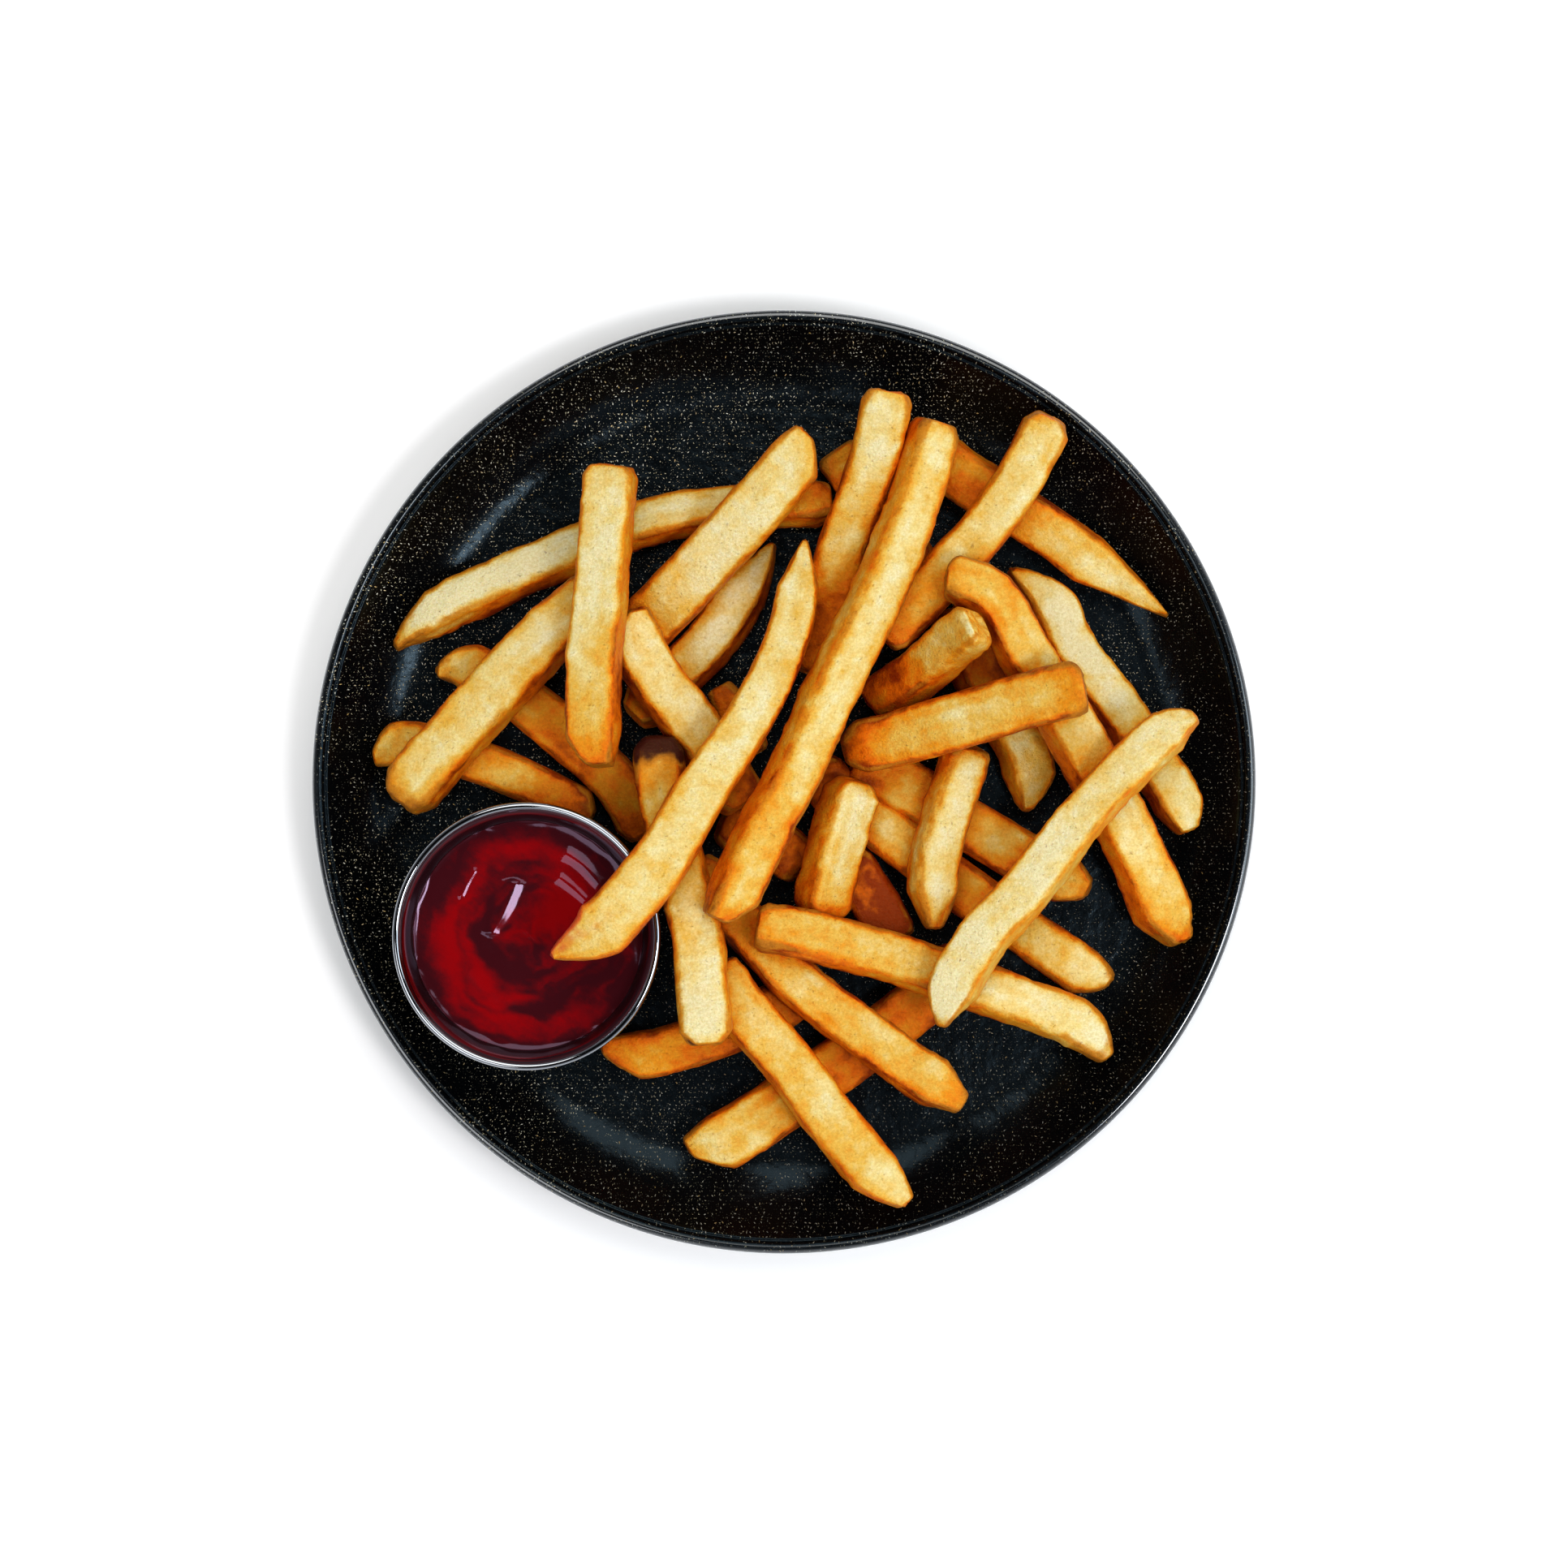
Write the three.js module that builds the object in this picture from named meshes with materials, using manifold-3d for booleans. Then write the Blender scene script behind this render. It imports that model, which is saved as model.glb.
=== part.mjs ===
// French fries on a coupe plate, with a steel cup of ketchup and one fry laid over its rim.
// Millimetres, +Z up. The origin is the centre of the plate's foot, on the surface it stands on.
import * as THREE from 'three';
import { mergeVertices } from 'three/addons/utils/BufferGeometryUtils.js';
import Module from 'manifold-3d';

const wasm = await Module();
wasm.setup();

const gap = 0.3; // clear air between pieces that touch

const plate = {
  radius: 110,
  rimHeight: 18,
  lipRadius: 1.4,
  floorHeight: 3.5,
  flatRadius: 88, // where the flat floor turns up into the wall
  wallRadius: 106.6, // where the wall ends at the step below the lip
  wallRise: 12.6,
  wallPower: 2.2,
  undersideHeight: 1,
  footRadius: 71,
  footRingInner: 65,
  footDiscRadius: 60,
  footGroove: 0.7,
  segments: 72,
};

const cup = {
  x: -59.2,
  y: -35.5,
  height: 30,
  rimRadius: 30.85,
  beadRadius: 0.85,
  baseRadius: 21.4,
  topRadius: 29.3,
  wall: 0.8,
  segments: 48,
};

const ketchup = {
  level: 21.8, // above the cup's underside
  swirlHeight: 0.5,
  swirlPitch: 13, // distance from one turn of the swirl to the next
  rings: 9,
  segments: 36,
};

const fry = {
  sides: 8,
  chamfer: 0.17, // of the smaller side
  thicknessBase: 5, // thickness = this + half the width
  sink: 0.5, // how far a fry presses into what it lies on
  contactShare: 0.45, // middle share of the width that bears on the fries below
  stationLength: 26,
  longTaper: 6, // tapers longer than this get a ring of their own
  taperPower: 1.15,
  columnSize: 4.5, // hidden column that ties a fry to the one above it
};

// Each fry is a centre line seen from above, the widths at its two ends, its roll in degrees
// (+ turns its left side up) and its two ends: [length of taper, share of the width left at the
// tip, side that the tip lies on (+ left)]. They are listed in the order in which they lie.
const heapFries = [
  // on the plate
  { line: [[-93.3, 34], [-83, 39], [-73, 44], [-50, 54], [-25.5, 62.6], [11.5, 65.5]],
    width: [11.5, 11], roll: -18, ends: [[13, 0.2, -0.6], [4, 0.7, 0]] },
  { line: [[-81.5, 27.5], [-73.5, 26.5], [-62, 19.5], [-50.5, 10.5], [-39, -0.5], [-32, -12.5]],
    width: [11.5, 11.5], roll: 0, ends: [[8, 0.25, -0.3], [4, 0.7, 0]] },
  { line: [[-97, 7], [-88.5, 9], [-76.5, 6.5], [-58.5, -0.5], [-44.5, -8]],
    width: [10.5, 10], roll: 0, ends: [[6, 0.35, -0.5], [4, 0.5, -0.5]] },
  { line: [[12, 78.5], [22.5, 63], [35, 44.5]],
    width: [11.5, 11.5], roll: 0, ends: [[2, 0.8, 0], [3, 0.8, 0]] },
  { line: [[29, 81.5], [41, 72.5], [54.5, 64], [69, 54], [90.5, 38.5]],
    width: [13, 12], roll: 10, ends: [[3, 0.7, 0], [24, 0.08, 0]] },
  { line: [[55, 52], [62.5, 42], [68, 30.5], [77, 18.5], [90.5, -1.5], [95, -12]],
    width: [12.5, 11.5], roll: -15, ends: [[13, 0.15, -0.5], [7, 0.45, 0]] },
  { line: [[39, 41], [45, 26.5], [53, 13], [57, 4.5], [58, -7.5]],
    width: [12, 12.5], roll: -20, ends: [[3, 0.8, 0], [9, 0.2, -0.2]] },
  { line: [[-15.5, -9], [-3, -14], [5, -20.5]],
    width: [12, 12], roll: 0, ends: [[3, 0.8, 0], [3, 0.8, 0]] },
  { line: [[14, -17], [20.5, -27], [27, -38]],
    width: [11.5, 11.5], roll: 0, ends: [[3, 0.8, 0], [3, 0.8, 0]] },
  { line: [[16.5, 5.5], [28.5, -1], [50.5, -14.5], [72, -25.5]],
    width: [13, 12], roll: 0, ends: [[3, 0.8, 0], [7, 0.4, 0]] },
  { line: [[-21.8, -88.2], [-8, -80.5], [10.5, -68], [28, -55], [42, -41]],
    width: [13.5, 12.5], roll: 0, ends: [[8, 0.35, 0.6], [3, 0.8, 0]] },
  { line: [[-43, -64.5], [-31.5, -64], [-26, -62.5], [-13, -58], [-1, -52.5], [7.5, -46.5]],
    width: [11.5, 11.5], roll: 0, ends: [[9, 0.3, 0.6], [3, 0.8, 0]] },
  { line: [[-15.5, 22.5], [-6, 6.5]],
    width: [7.5, 7.5], roll: 0, ends: [[3, 0.8, 0], [3, 0.8, 0]] },
  { line: [[6.5, 3.5], [14, -4], [26, -13], [44.5, -26.5], [65.5, -41.5], [76, -49]],
    width: [12, 11.5], roll: 0, ends: [[3, 0.8, 0], [7, 0.35, 0.5]] },
  // across those
  { line: [[62.5, 85.5], [53.5, 68.5], [43.5, 55], [29.5, 40.5], [22.5, 33.5]],
    width: [11.5, 11.5], roll: 0, ends: [[4, 0.6, 0], [3, 0.8, 0]] },
  { line: [[-89.5, -5.5], [-73, 14.5], [-56, 33], [-43, 44]],
    width: [14.2, 14], roll: -12, ends: [[5, 0.6, 0], [3, 0.8, 0]] },
  { line: [[7, 79.5], [-5, 65.5], [-16, 53.5], [-26, 42.8], [-33.3, 35.4], [-39, 25]],
    width: [13, 14], roll: 0, ends: [[7, 0.4, -0.6], [3, 0.8, 0]] },
  { line: [[-4, 57], [-6.5, 50.5], [-14.5, 36.5], [-24, 26], [-36, 15]],
    width: [12, 12], roll: 12, ends: [[14, 0.12, 0.3], [5, 0.6, 0]] },
  { line: [[24, 90.5], [22, 79.5], [17, 64], [12.5, 51], [8.5, 32.5], [7, 25]],
    width: [11.5, 11], roll: 0, ends: [[3, 0.75, 0], [3, 0.7, 0]] },
  { line: [[37, 46], [42.5, 45.5], [49.5, 41], [55.5, 30], [68.5, 8.5], [81.8, -16], [92, -38.7]],
    width: [12, 14], roll: -18, ends: [[3, 0.6, 0], [9, 0.38, 0.3]] },
  { line: [[-16, -42.5], [-12, -50], [2.2, -66.8], [13, -81], [27.6, -99]],
    width: [12.5, 12.5], roll: -8, ends: [[3, 0.8, 0], [11, 0.35, 0.4]] },
  { line: [[-21.5, -19.5], [-4.8, -38.2], [5.6, -48.8], [19.6, -59.4], [27.2, -65], [42, -74.5]],
    width: [11.5, 12.2], roll: -10, ends: [[3, 0.8, 0], [9, 0.4, -0.2]] },
  { line: [[43, 9], [41, 1.5], [38, -7], [35, -19.5], [35, -34.5]],
    width: [11.5, 12], roll: -20, ends: [[2, 0.8, 0], [9, 0.3, 0]] },
  { line: [[17, 1], [13, -11.5], [9.5, -25], [8.5, -31]],
    width: [13.5, 13.5], roll: -30, ends: [[4, 0.55, 0], [3, 0.8, 0]] },
  { line: [[46.6, 37.3], [39.5, 32.5], [32.5, 26], [20.5, 17.5]],
    width: [12, 12.5], roll: 25, ends: [[2, 0.8, 0], [3, 0.8, 0]] },
  // on top
  { line: [[-36, 40.3], [-34.3, 31.5], [-28.8, 22.6], [-18.3, 9], [-9, -6]],
    width: [13.5, 12.5], roll: -12, ends: [[7, 0.4, 0.5], [3, 0.7, 0]] },
  { line: [[-39.7, 73.3], [-41, 59], [-42.6, 40.5], [-43.8, 25], [-43.9, 3]],
    width: [12.5, 13], roll: 12, ends: [[3, 0.8, 0], [8, 0.5, 0.5]] },
  { line: [[-29, 11], [-28.5, -2], [-24, -20], [-20.5, -33], [-19, -43.5], [-18, -61]],
    width: [11.5, 12.5], roll: 0, ends: [[4, 0.6, 0], [4, 0.6, 0]] },
  { line: [[-6.5, -33.5], [5.5, -35.5], [22.5, -40], [36.5, -44.5], [61.5, -53.5], [69.3, -57.8],
    [74.8, -66]],
    width: [12, 12], roll: -12, ends: [[2, 0.8, 0], [10, 0.3, 0.3]] },
  { line: [[13.5, 7], [25.5, 10], [43, 15], [60.5, 20], [69, 21.5]],
    width: [13, 13], roll: 0, ends: [[5, 0.5, 0], [3, 0.75, -0.3]] },
  { line: [[35.5, 83.5], [32.5, 73], [28.3, 60.5], [21.7, 43.5], [13.8, 27.5], [2, 1.5], [-4, -9.5],
    [-14.6, -32]],
    width: [12.5, 13], roll: -22, ends: [[3, 0.75, 0], [7, 0.5, -0.5]] },
  { line: [[94.5, 16], [87, 10.8], [70.5, -6], [55.5, -25], [45.8, -35.5], [39.3, -46.5], [35.8, -56.8]],
    width: [11, 12.5], roll: 14, ends: [[8, 0.3, 0.2], [10, 0.2, 0]] },
];

const dippedFry = {
  line: [[5, 56.5], [3.5, 46.5], [1, 34], [-5.5, 18.8], [-13.4, 6.7], [-20.2, -3.7], [-26.5, -15.5],
    [-35.5, -27], [-43, -34.5], [-53, -39.5]],
  width: [9, 14.5],
  roll: 0,
  ends: [[12, 0.1, 0], [13, 0.12, 0]],
  droop: 6, // how far the tip over the cup hangs below the straight line
  droopStart: 84,
};

const colours = {
  plate: 0x15161a,
  steel: 0xb9bcc2,
  ketchup: 0x8c0a0c,
  fries: 0xe0b25c,
  dippedFry: 0xeccf86,
};

// Solids

function turned(profile, segments) {
  const points = profile.map(([radius, height]) => new THREE.Vector2(radius, height));
  return new THREE.LatheGeometry(points, segments).rotateX(Math.PI / 2);
}

function merged(geometry) {
  geometry.deleteAttribute('normal');
  geometry.deleteAttribute('uv');
  return mergeVertices(geometry, 1e-4);
}

function solidOf(geometry) {
  const shape = merged(geometry);
  return new wasm.Manifold(new wasm.Mesh({
    numProp: 3,
    vertProperties: new Float32Array(shape.attributes.position.array),
    triVerts: new Uint32Array(shape.index.array),
  }));
}

function geometryOf(solid) {
  const { vertProperties, triVerts } = solid.getMesh();
  const geometry = new THREE.BufferGeometry();
  geometry.setAttribute('position', new THREE.BufferAttribute(vertProperties, 3));
  geometry.setIndex(new THREE.BufferAttribute(triVerts, 1));
  return geometry;
}

function piece(name, geometry, colour, roughness, metalness = 0) {
  const material = new THREE.MeshStandardMaterial({ color: colour, roughness, metalness });
  const mesh = new THREE.Mesh(geometry, material);
  mesh.name = name;
  return mesh;
}

// Plate

function plateHeight(radius) {
  const up = (radius - plate.flatRadius) / (plate.wallRadius - plate.flatRadius);
  return plate.floorHeight + plate.wallRise * Math.max(0, up) ** plate.wallPower;
}

function plateGeometry() {
  const steps = 5;
  const chamfer = plate.footGroove;
  const lip = plate.lipRadius;
  const outerWall = plate.radius - 0.8;
  const underside = [];
  const inside = [];
  for (let i = 0; i <= steps; i++) {
    const up = i / steps;
    const radius = THREE.MathUtils.lerp(plate.flatRadius, outerWall, up);
    underside.push([radius, plate.undersideHeight + (plate.rimHeight - 4) * up ** plate.wallPower]);
    const inner = THREE.MathUtils.lerp(plate.wallRadius, plate.flatRadius, up);
    inside.push([inner, plateHeight(inner)]);
  }
  return turned([
    [0, 0],
    [plate.footDiscRadius, 0],
    [plate.footDiscRadius + chamfer, chamfer],
    [plate.footRingInner - chamfer, chamfer],
    [plate.footRingInner, 0],
    [plate.footRadius, 0],
    [plate.footRadius + chamfer, chamfer],
    [plate.footRadius + 1, plate.undersideHeight],
    ...underside,
    [plate.radius, plate.rimHeight - lip],
    [plate.radius - 0.4, plate.rimHeight - 0.4],
    [plate.radius - lip, plate.rimHeight],
    [plate.radius - 2 * lip, plate.rimHeight - 0.8],
    [plate.wallRadius + 0.4, plateHeight(plate.wallRadius) - 0.1],
    ...inside,
    [0, plate.floorHeight],
  ], plate.segments);
}

// Cup, with its underside at the height 0

function cupInnerRadius(height) {
  const up = (height - cup.wall) / (cup.height - cup.beadRadius - cup.wall);
  return THREE.MathUtils.lerp(cup.baseRadius, cup.topRadius, up) - cup.wall;
}

function cupGeometry() {
  const beadCentre = cup.rimRadius - cup.beadRadius;
  const beadHeight = cup.height - cup.beadRadius;
  const bead = [];
  for (let angle = -110; angle <= 150; angle += 65) {
    const turn = THREE.MathUtils.degToRad(angle);
    bead.push([
      beadCentre + cup.beadRadius * Math.cos(turn),
      beadHeight + cup.beadRadius * Math.sin(turn),
    ]);
  }
  return turned([
    [0, 0],
    [cup.baseRadius - 1.5, 0],
    [cup.baseRadius - 0.4, 0.4],
    [cup.baseRadius, 1.5],
    ...bead,
    [cupInnerRadius(beadHeight - 1), beadHeight - 1],
    [cupInnerRadius(2.5), 2.5],
    [cupInnerRadius(2.5) - 1.2, cup.wall],
    [0, cup.wall],
  ], cup.segments);
}

// Ketchup: fills the cup up to its level, with a soft swirl over the top

function swirl(x, y) {
  const radius = Math.hypot(x, y);
  const turns = radius / ketchup.swirlPitch - Math.atan2(y, x) / (2 * Math.PI);
  const edge = cupInnerRadius(ketchup.level);
  const fade = Math.min(1, radius / 4) * (1 - (radius / edge) ** 4);
  return ketchup.swirlHeight * fade * Math.cos(2 * Math.PI * turns);
}

function ketchupGeometry() {
  const base = cup.wall + gap;
  const topRadius = cupInnerRadius(ketchup.level) - gap;
  const profile = [
    [0, base],
    [cupInnerRadius(2.5) - 1.2 - gap, base],
    [cupInnerRadius(2.5 + gap) - gap, 2.5 + gap],
  ];
  for (let i = 0; i <= ketchup.rings; i++) {
    profile.push([topRadius * (1 - i / ketchup.rings), ketchup.level]);
  }
  const geometry = turned(profile, ketchup.segments);
  const place = geometry.attributes.position;
  for (let i = 0; i < place.count; i++) {
    if (place.getZ(i) > ketchup.level - 0.01) {
      place.setZ(i, ketchup.level + swirl(place.getX(i), place.getY(i)));
    }
  }
  return geometry;
}

// Shape of a fry

function centreLine(shape) {
  const points = shape.line.map(([x, y]) => new THREE.Vector3(x, y, 0));
  return new THREE.CatmullRomCurve3(points, false, 'catmullrom', 0.5);
}

function meanWidth(shape) {
  return (shape.width[0] + shape.width[1]) / 2;
}

function thickness(shape) {
  return fry.thicknessBase + meanWidth(shape) / 2;
}

// The cross-section, a square with cut corners, rolled and then scaled to the fry's width.
function section(shape) {
  const width = meanWidth(shape);
  const half = width / 2;
  const halfThick = thickness(shape) / 2;
  const cut = fry.chamfer * Math.min(width, thickness(shape));
  const quarter = [[half, halfThick - cut], [half - cut, halfThick]];
  const corners = [
    ...quarter,
    ...quarter.map(([x, z]) => [-x, z]).reverse(),
    ...quarter.map(([x, z]) => [-x, -z]),
    ...quarter.map(([x, z]) => [x, -z]).reverse(),
  ];
  const roll = THREE.MathUtils.degToRad(shape.roll);
  const rolled = corners.map(([x, z]) => [
    x * Math.cos(roll) - z * Math.sin(roll),
    z * Math.cos(roll) + x * Math.sin(roll),
  ]);
  const reach = Math.max(...rolled.map(([x]) => x));
  return rolled.map(([x, z]) => [(x * half) / reach, (z * half) / reach]);
}

// Lowest and highest point of the cross-section at a distance to the left of its middle.
function span(corners, across) {
  const heights = [];
  corners.forEach(([x0, z0], i) => {
    const [x1, z1] = corners[(i + 1) % corners.length];
    if ((x0 - across) * (x1 - across) <= 0 && x0 !== x1) {
      heights.push(z0 + ((z1 - z0) * (across - x0)) / (x1 - x0));
    }
  });
  return [Math.min(...heights), Math.max(...heights)];
}

// Width, height scale and sideways shift of the fry at a distance from its start.
function sizeAt(shape, distance, length) {
  let share = 1;
  let side = 0;
  shape.ends.forEach(([taper, tip, tipSide], end) => {
    const inward = end === 0 ? distance : length - distance;
    if (inward < taper) {
      const here = 1 - (1 - tip) * (1 - inward / taper) ** fry.taperPower;
      share = Math.min(share, here);
      side += tipSide * (1 - here);
    }
  });
  const width = THREE.MathUtils.lerp(shape.width[0], shape.width[1], distance / length);
  return { width: width * share, tall: 0.5 + 0.5 * share, shift: (side * width) / 2 };
}

function placeAt(curve, part) {
  const point = curve.getPointAt(part);
  const along = curve.getTangentAt(part);
  return { point, left: new THREE.Vector3(-along.y, along.x, 0) };
}

// Heights: each fry rests on what lies under it

class HeightMap {
  constructor(height) {
    this.size = 240;
    this.cells = new Float64Array(this.size ** 2);
    for (let i = 0; i < this.cells.length; i++) {
      const x = Math.floor(i / this.size) - this.size / 2;
      const y = (i % this.size) - this.size / 2;
      this.cells[i] = height(x, y);
    }
  }

  index(x, y) {
    const column = Math.floor(x + this.size / 2 + 0.5);
    const row = Math.floor(y + this.size / 2 + 0.5);
    return column * this.size + row;
  }

  at(x, y) {
    return this.cells[this.index(x, y)];
  }

  raise(x, y, height) {
    const i = this.index(x, y);
    this.cells[i] = Math.max(this.cells[i], height);
  }
}

const plateTop = new HeightMap((x, y) => {
  const radius = Math.hypot(x, y);
  const height = radius > plate.wallRadius ? plate.rimHeight : plateHeight(radius);
  return height + gap + fry.sink;
});

const cupTop = new HeightMap((x, y) => {
  const radius = Math.hypot(x - cup.x, y - cup.y);
  const bottom = plate.floorHeight + gap;
  if (radius > cup.rimRadius + 1) {
    return 0;
  }
  const inside = radius < cup.rimRadius - 2.5 * cup.beadRadius;
  return bottom + (inside ? ketchup.level + 2 : cup.height) + 2 * gap + fry.sink;
});

const heapTop = new HeightMap(() => 0);

// The straight edge of the upper hull of the support heights that spans the fry's middle.
function restingEdge(supports, middle) {
  const hull = [];
  for (const next of supports) {
    while (hull.length > 1) {
      const [a, b] = hull.slice(-2);
      const turn = (b[0] - a[0]) * (next[1] - a[1]) - (b[1] - a[1]) * (next[0] - a[0]);
      if (turn < 0) {
        break;
      }
      hull.pop();
    }
    hull.push(next);
  }
  const after = hull.findIndex(([distance]) => distance >= middle);
  return [hull[after - 1], hull[after]];
}

function layDown(shape, onCup = false) {
  const curve = centreLine(shape);
  const length = curve.getLength();
  const corners = section(shape);
  const stations = Math.max(2, Math.round(length) + 1);
  const supports = [];
  const covered = [];
  for (let i = 0; i < stations; i++) {
    const part = i / (stations - 1);
    const distance = part * length;
    const { width, tall, shift } = sizeAt(shape, distance, length);
    const { point, left } = placeAt(curve, part);
    const steps = Math.max(2, Math.ceil(width));
    let support = -Infinity;
    for (let j = 0; j <= steps; j++) {
      const across = width * (j / steps - 0.5);
      const [low, high] = span(corners, ((across * meanWidth(shape)) / width) * 0.999);
      const x = point.x + left.x * (shift + across);
      const y = point.y + left.y * (shift + across);
      let below = plateTop.at(x, y);
      if (onCup) {
        below = Math.max(below, cupTop.at(x, y), heapTop.at(x, y) + 2 * gap + fry.sink);
      } else if (Math.abs(across) <= (fry.contactShare * width) / 2) {
        below = Math.max(below, heapTop.at(x, y));
      }
      support = Math.max(support, below - low * tall);
      covered.push({ x, y, distance, high: high * tall });
    }
    supports.push([distance, support]);
  }
  const [a, b] = restingEdge(supports, length / 2);
  const slope = (b[1] - a[1]) / (b[0] - a[0]);
  const heightAt = (distance) => a[1] + slope * (distance - a[0]) - fry.sink;
  covered.forEach((cell) => heapTop.raise(cell.x, cell.y, heightAt(cell.distance) + cell.high));
  return { shape, curve, length, corners, heightAt };
}

// Rings along the fry: its two tips, where its tapers end, and between.
function ringDistances({ shape, length }) {
  const [start, end] = shape.ends.map(([taper]) => taper);
  const distances = [0];
  if (start > fry.longTaper) {
    distances.push(0.35 * start);
  }
  const body = length - start - end;
  const parts = Math.max(1, Math.round(body / fry.stationLength));
  for (let i = 0; i <= parts; i++) {
    distances.push(start + (body * i) / parts);
  }
  if (end > fry.longTaper) {
    distances.push(length - 0.35 * end);
  }
  distances.push(length);
  return distances;
}

function fryGeometry(laid) {
  const { shape, curve, length, corners, heightAt } = laid;
  const distances = ringDistances(laid);
  const rings = distances.length - 1;
  const geometry = new THREE.CylinderGeometry(1, 1, 1, fry.sides, rings);
  const place = geometry.attributes.position;
  for (let i = 0; i < place.count; i++) {
    const x = place.getX(i);
    const z = place.getZ(i);
    const ring = Math.round((place.getY(i) + 0.5) * rings);
    const distance = distances[ring];
    const { width, tall, shift } = sizeAt(shape, distance, length);
    const { point, left } = placeAt(curve, distance / length);
    const corner = Math.round((Math.atan2(x, z) / (2 * Math.PI)) * fry.sides + fry.sides) % fry.sides;
    const onRing = Math.hypot(x, z) > 0.5;
    const [across, up] = onRing ? corners[corner] : [0, 0];
    const aside = shift + (across * width) / meanWidth(shape);
    const past = Math.max(0, distance - (shape.droopStart ?? Infinity));
    const droop = past > 0 ? shape.droop * (past / (length - shape.droopStart)) ** 2 : 0;
    place.setXYZ(
      i,
      point.x + left.x * aside,
      point.y + left.y * aside,
      heightAt(distance) + up * tall - droop,
    );
  }
  return geometry;
}

// The heap: all its fries fused, and hidden columns that tie in any fry that none touches

function solidFry(laid) {
  const solid = solidOf(fryGeometry(laid));
  return { laid, solid, box: solid.boundingBox() };
}

function column(upper, lower) {
  const stations = 24;
  let best = null;
  for (let i = 2; i < stations - 1; i++) {
    const part = i / stations;
    const over = upper.laid.curve.getPointAt(part);
    for (let j = 2; j < stations - 1; j++) {
      const under = lower.laid.curve.getPointAt(j / stations);
      const apart = over.distanceTo(under);
      if (best === null || apart < best.apart) {
        best = { apart, part, under, lowerPart: j / stations, over };
      }
    }
  }
  const top = upper.laid.heightAt(best.part * upper.laid.length);
  const bottom = lower.laid.heightAt(best.lowerPart * lower.laid.length);
  const tall = Math.abs(top - bottom);
  const middle = new THREE.Vector3().addVectors(best.over, best.under).multiplyScalar(0.5);
  const box = new THREE.BoxGeometry(fry.columnSize, fry.columnSize, tall);
  box.translate(middle.x, middle.y, (top + bottom) / 2);
  return { apart: best.apart, solid: solidOf(box) };
}

function heapSolid(fries) {
  let heap = wasm.Manifold.union(fries.map(({ solid }) => solid));
  for (let parts = heap.decompose(); parts.length > 1; parts = heap.decompose()) {
    const [main, ...others] = parts.sort((a, b) => b.volume() - a.volume());
    const within = (part) => fries.filter(({ solid }) => part.intersect(solid).volume() > 1);
    const inMain = within(main);
    const ties = within(others[0]).flatMap((lone) => inMain.map((held) => column(held, lone)));
    const [nearest] = ties.sort((a, b) => a.apart - b.apart);
    heap = heap.add(nearest.solid);
  }
  return heap;
}

const laidFries = heapFries.map((shape) => layDown(shape));
const laidDipped = layDown(dippedFry, true);

const servedFries = new THREE.Group();
servedFries.add(piece('plate', plateGeometry(), colours.plate, 0.3));

const cupGroup = new THREE.Group();
cupGroup.position.set(cup.x, cup.y, plate.floorHeight + gap);
cupGroup.add(piece('sauce_cup', cupGeometry(), colours.steel, 0.25, 1));
cupGroup.add(piece('ketchup', ketchupGeometry(), colours.ketchup, 0.15));
servedFries.add(cupGroup);

const heap = geometryOf(heapSolid(laidFries.map(solidFry)));
servedFries.add(piece('fries_heap', heap, colours.fries, 0.6));
servedFries.add(piece('dipped_fry', fryGeometry(laidDipped), colours.dippedFry, 0.6));

export default servedFries;
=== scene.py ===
import itertools
import math

import bpy
import numpy as np
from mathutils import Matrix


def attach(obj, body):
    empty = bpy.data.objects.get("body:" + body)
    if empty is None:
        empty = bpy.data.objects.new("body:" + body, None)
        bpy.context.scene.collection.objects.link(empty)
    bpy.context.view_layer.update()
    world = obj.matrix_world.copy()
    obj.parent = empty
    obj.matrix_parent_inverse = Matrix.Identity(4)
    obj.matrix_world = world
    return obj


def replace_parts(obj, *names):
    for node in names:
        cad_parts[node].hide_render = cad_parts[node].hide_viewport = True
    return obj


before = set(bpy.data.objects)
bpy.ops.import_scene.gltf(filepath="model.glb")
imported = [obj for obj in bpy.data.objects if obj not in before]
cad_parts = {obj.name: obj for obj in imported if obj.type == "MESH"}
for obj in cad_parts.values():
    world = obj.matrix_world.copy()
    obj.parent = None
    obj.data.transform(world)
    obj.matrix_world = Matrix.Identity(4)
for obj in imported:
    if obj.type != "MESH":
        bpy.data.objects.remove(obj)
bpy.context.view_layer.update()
random = np.random.default_rng(41)
mm = 0.001
print("packed model loaded:", ", ".join(sorted(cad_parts)))


# shader sums: an expression on Wires adds its Math nodes

class Wire:
    def __init__(self, socket):
        self.socket = socket

    def sum(self, operation, first, second):
        node = self.socket.id_data.nodes.new("ShaderNodeMath")
        node.operation = operation
        plug(node.inputs[0], first)
        plug(node.inputs[1], second)
        return Wire(node.outputs[0])

    def __add__(self, other):
        return self.sum("ADD", self, other)

    __radd__ = __add__

    def __sub__(self, other):
        return self.sum("SUBTRACT", self, other)

    def __rsub__(self, other):
        return self.sum("SUBTRACT", other, self)

    def __mul__(self, other):
        return self.sum("MULTIPLY", self, other)

    __rmul__ = __mul__

    def __truediv__(self, other):
        return self.sum("DIVIDE", self, other)

    def step(self, low, high):  # 0 below low, 1 above high, smooth between
        tree = Shading(self.socket.id_data)
        return tree.add("MapRange", {"interpolation_type": "SMOOTHSTEP"}, _0=self, _1=low, _2=high)


def plug(entry, value):
    if isinstance(value, Wire):
        entry.id_data.links.new(value.socket, entry)
    elif entry.type == "RGBA" and len(value) == 3:
        entry.default_value = (*value, 1.0)
    else:
        entry.default_value = value


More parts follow.
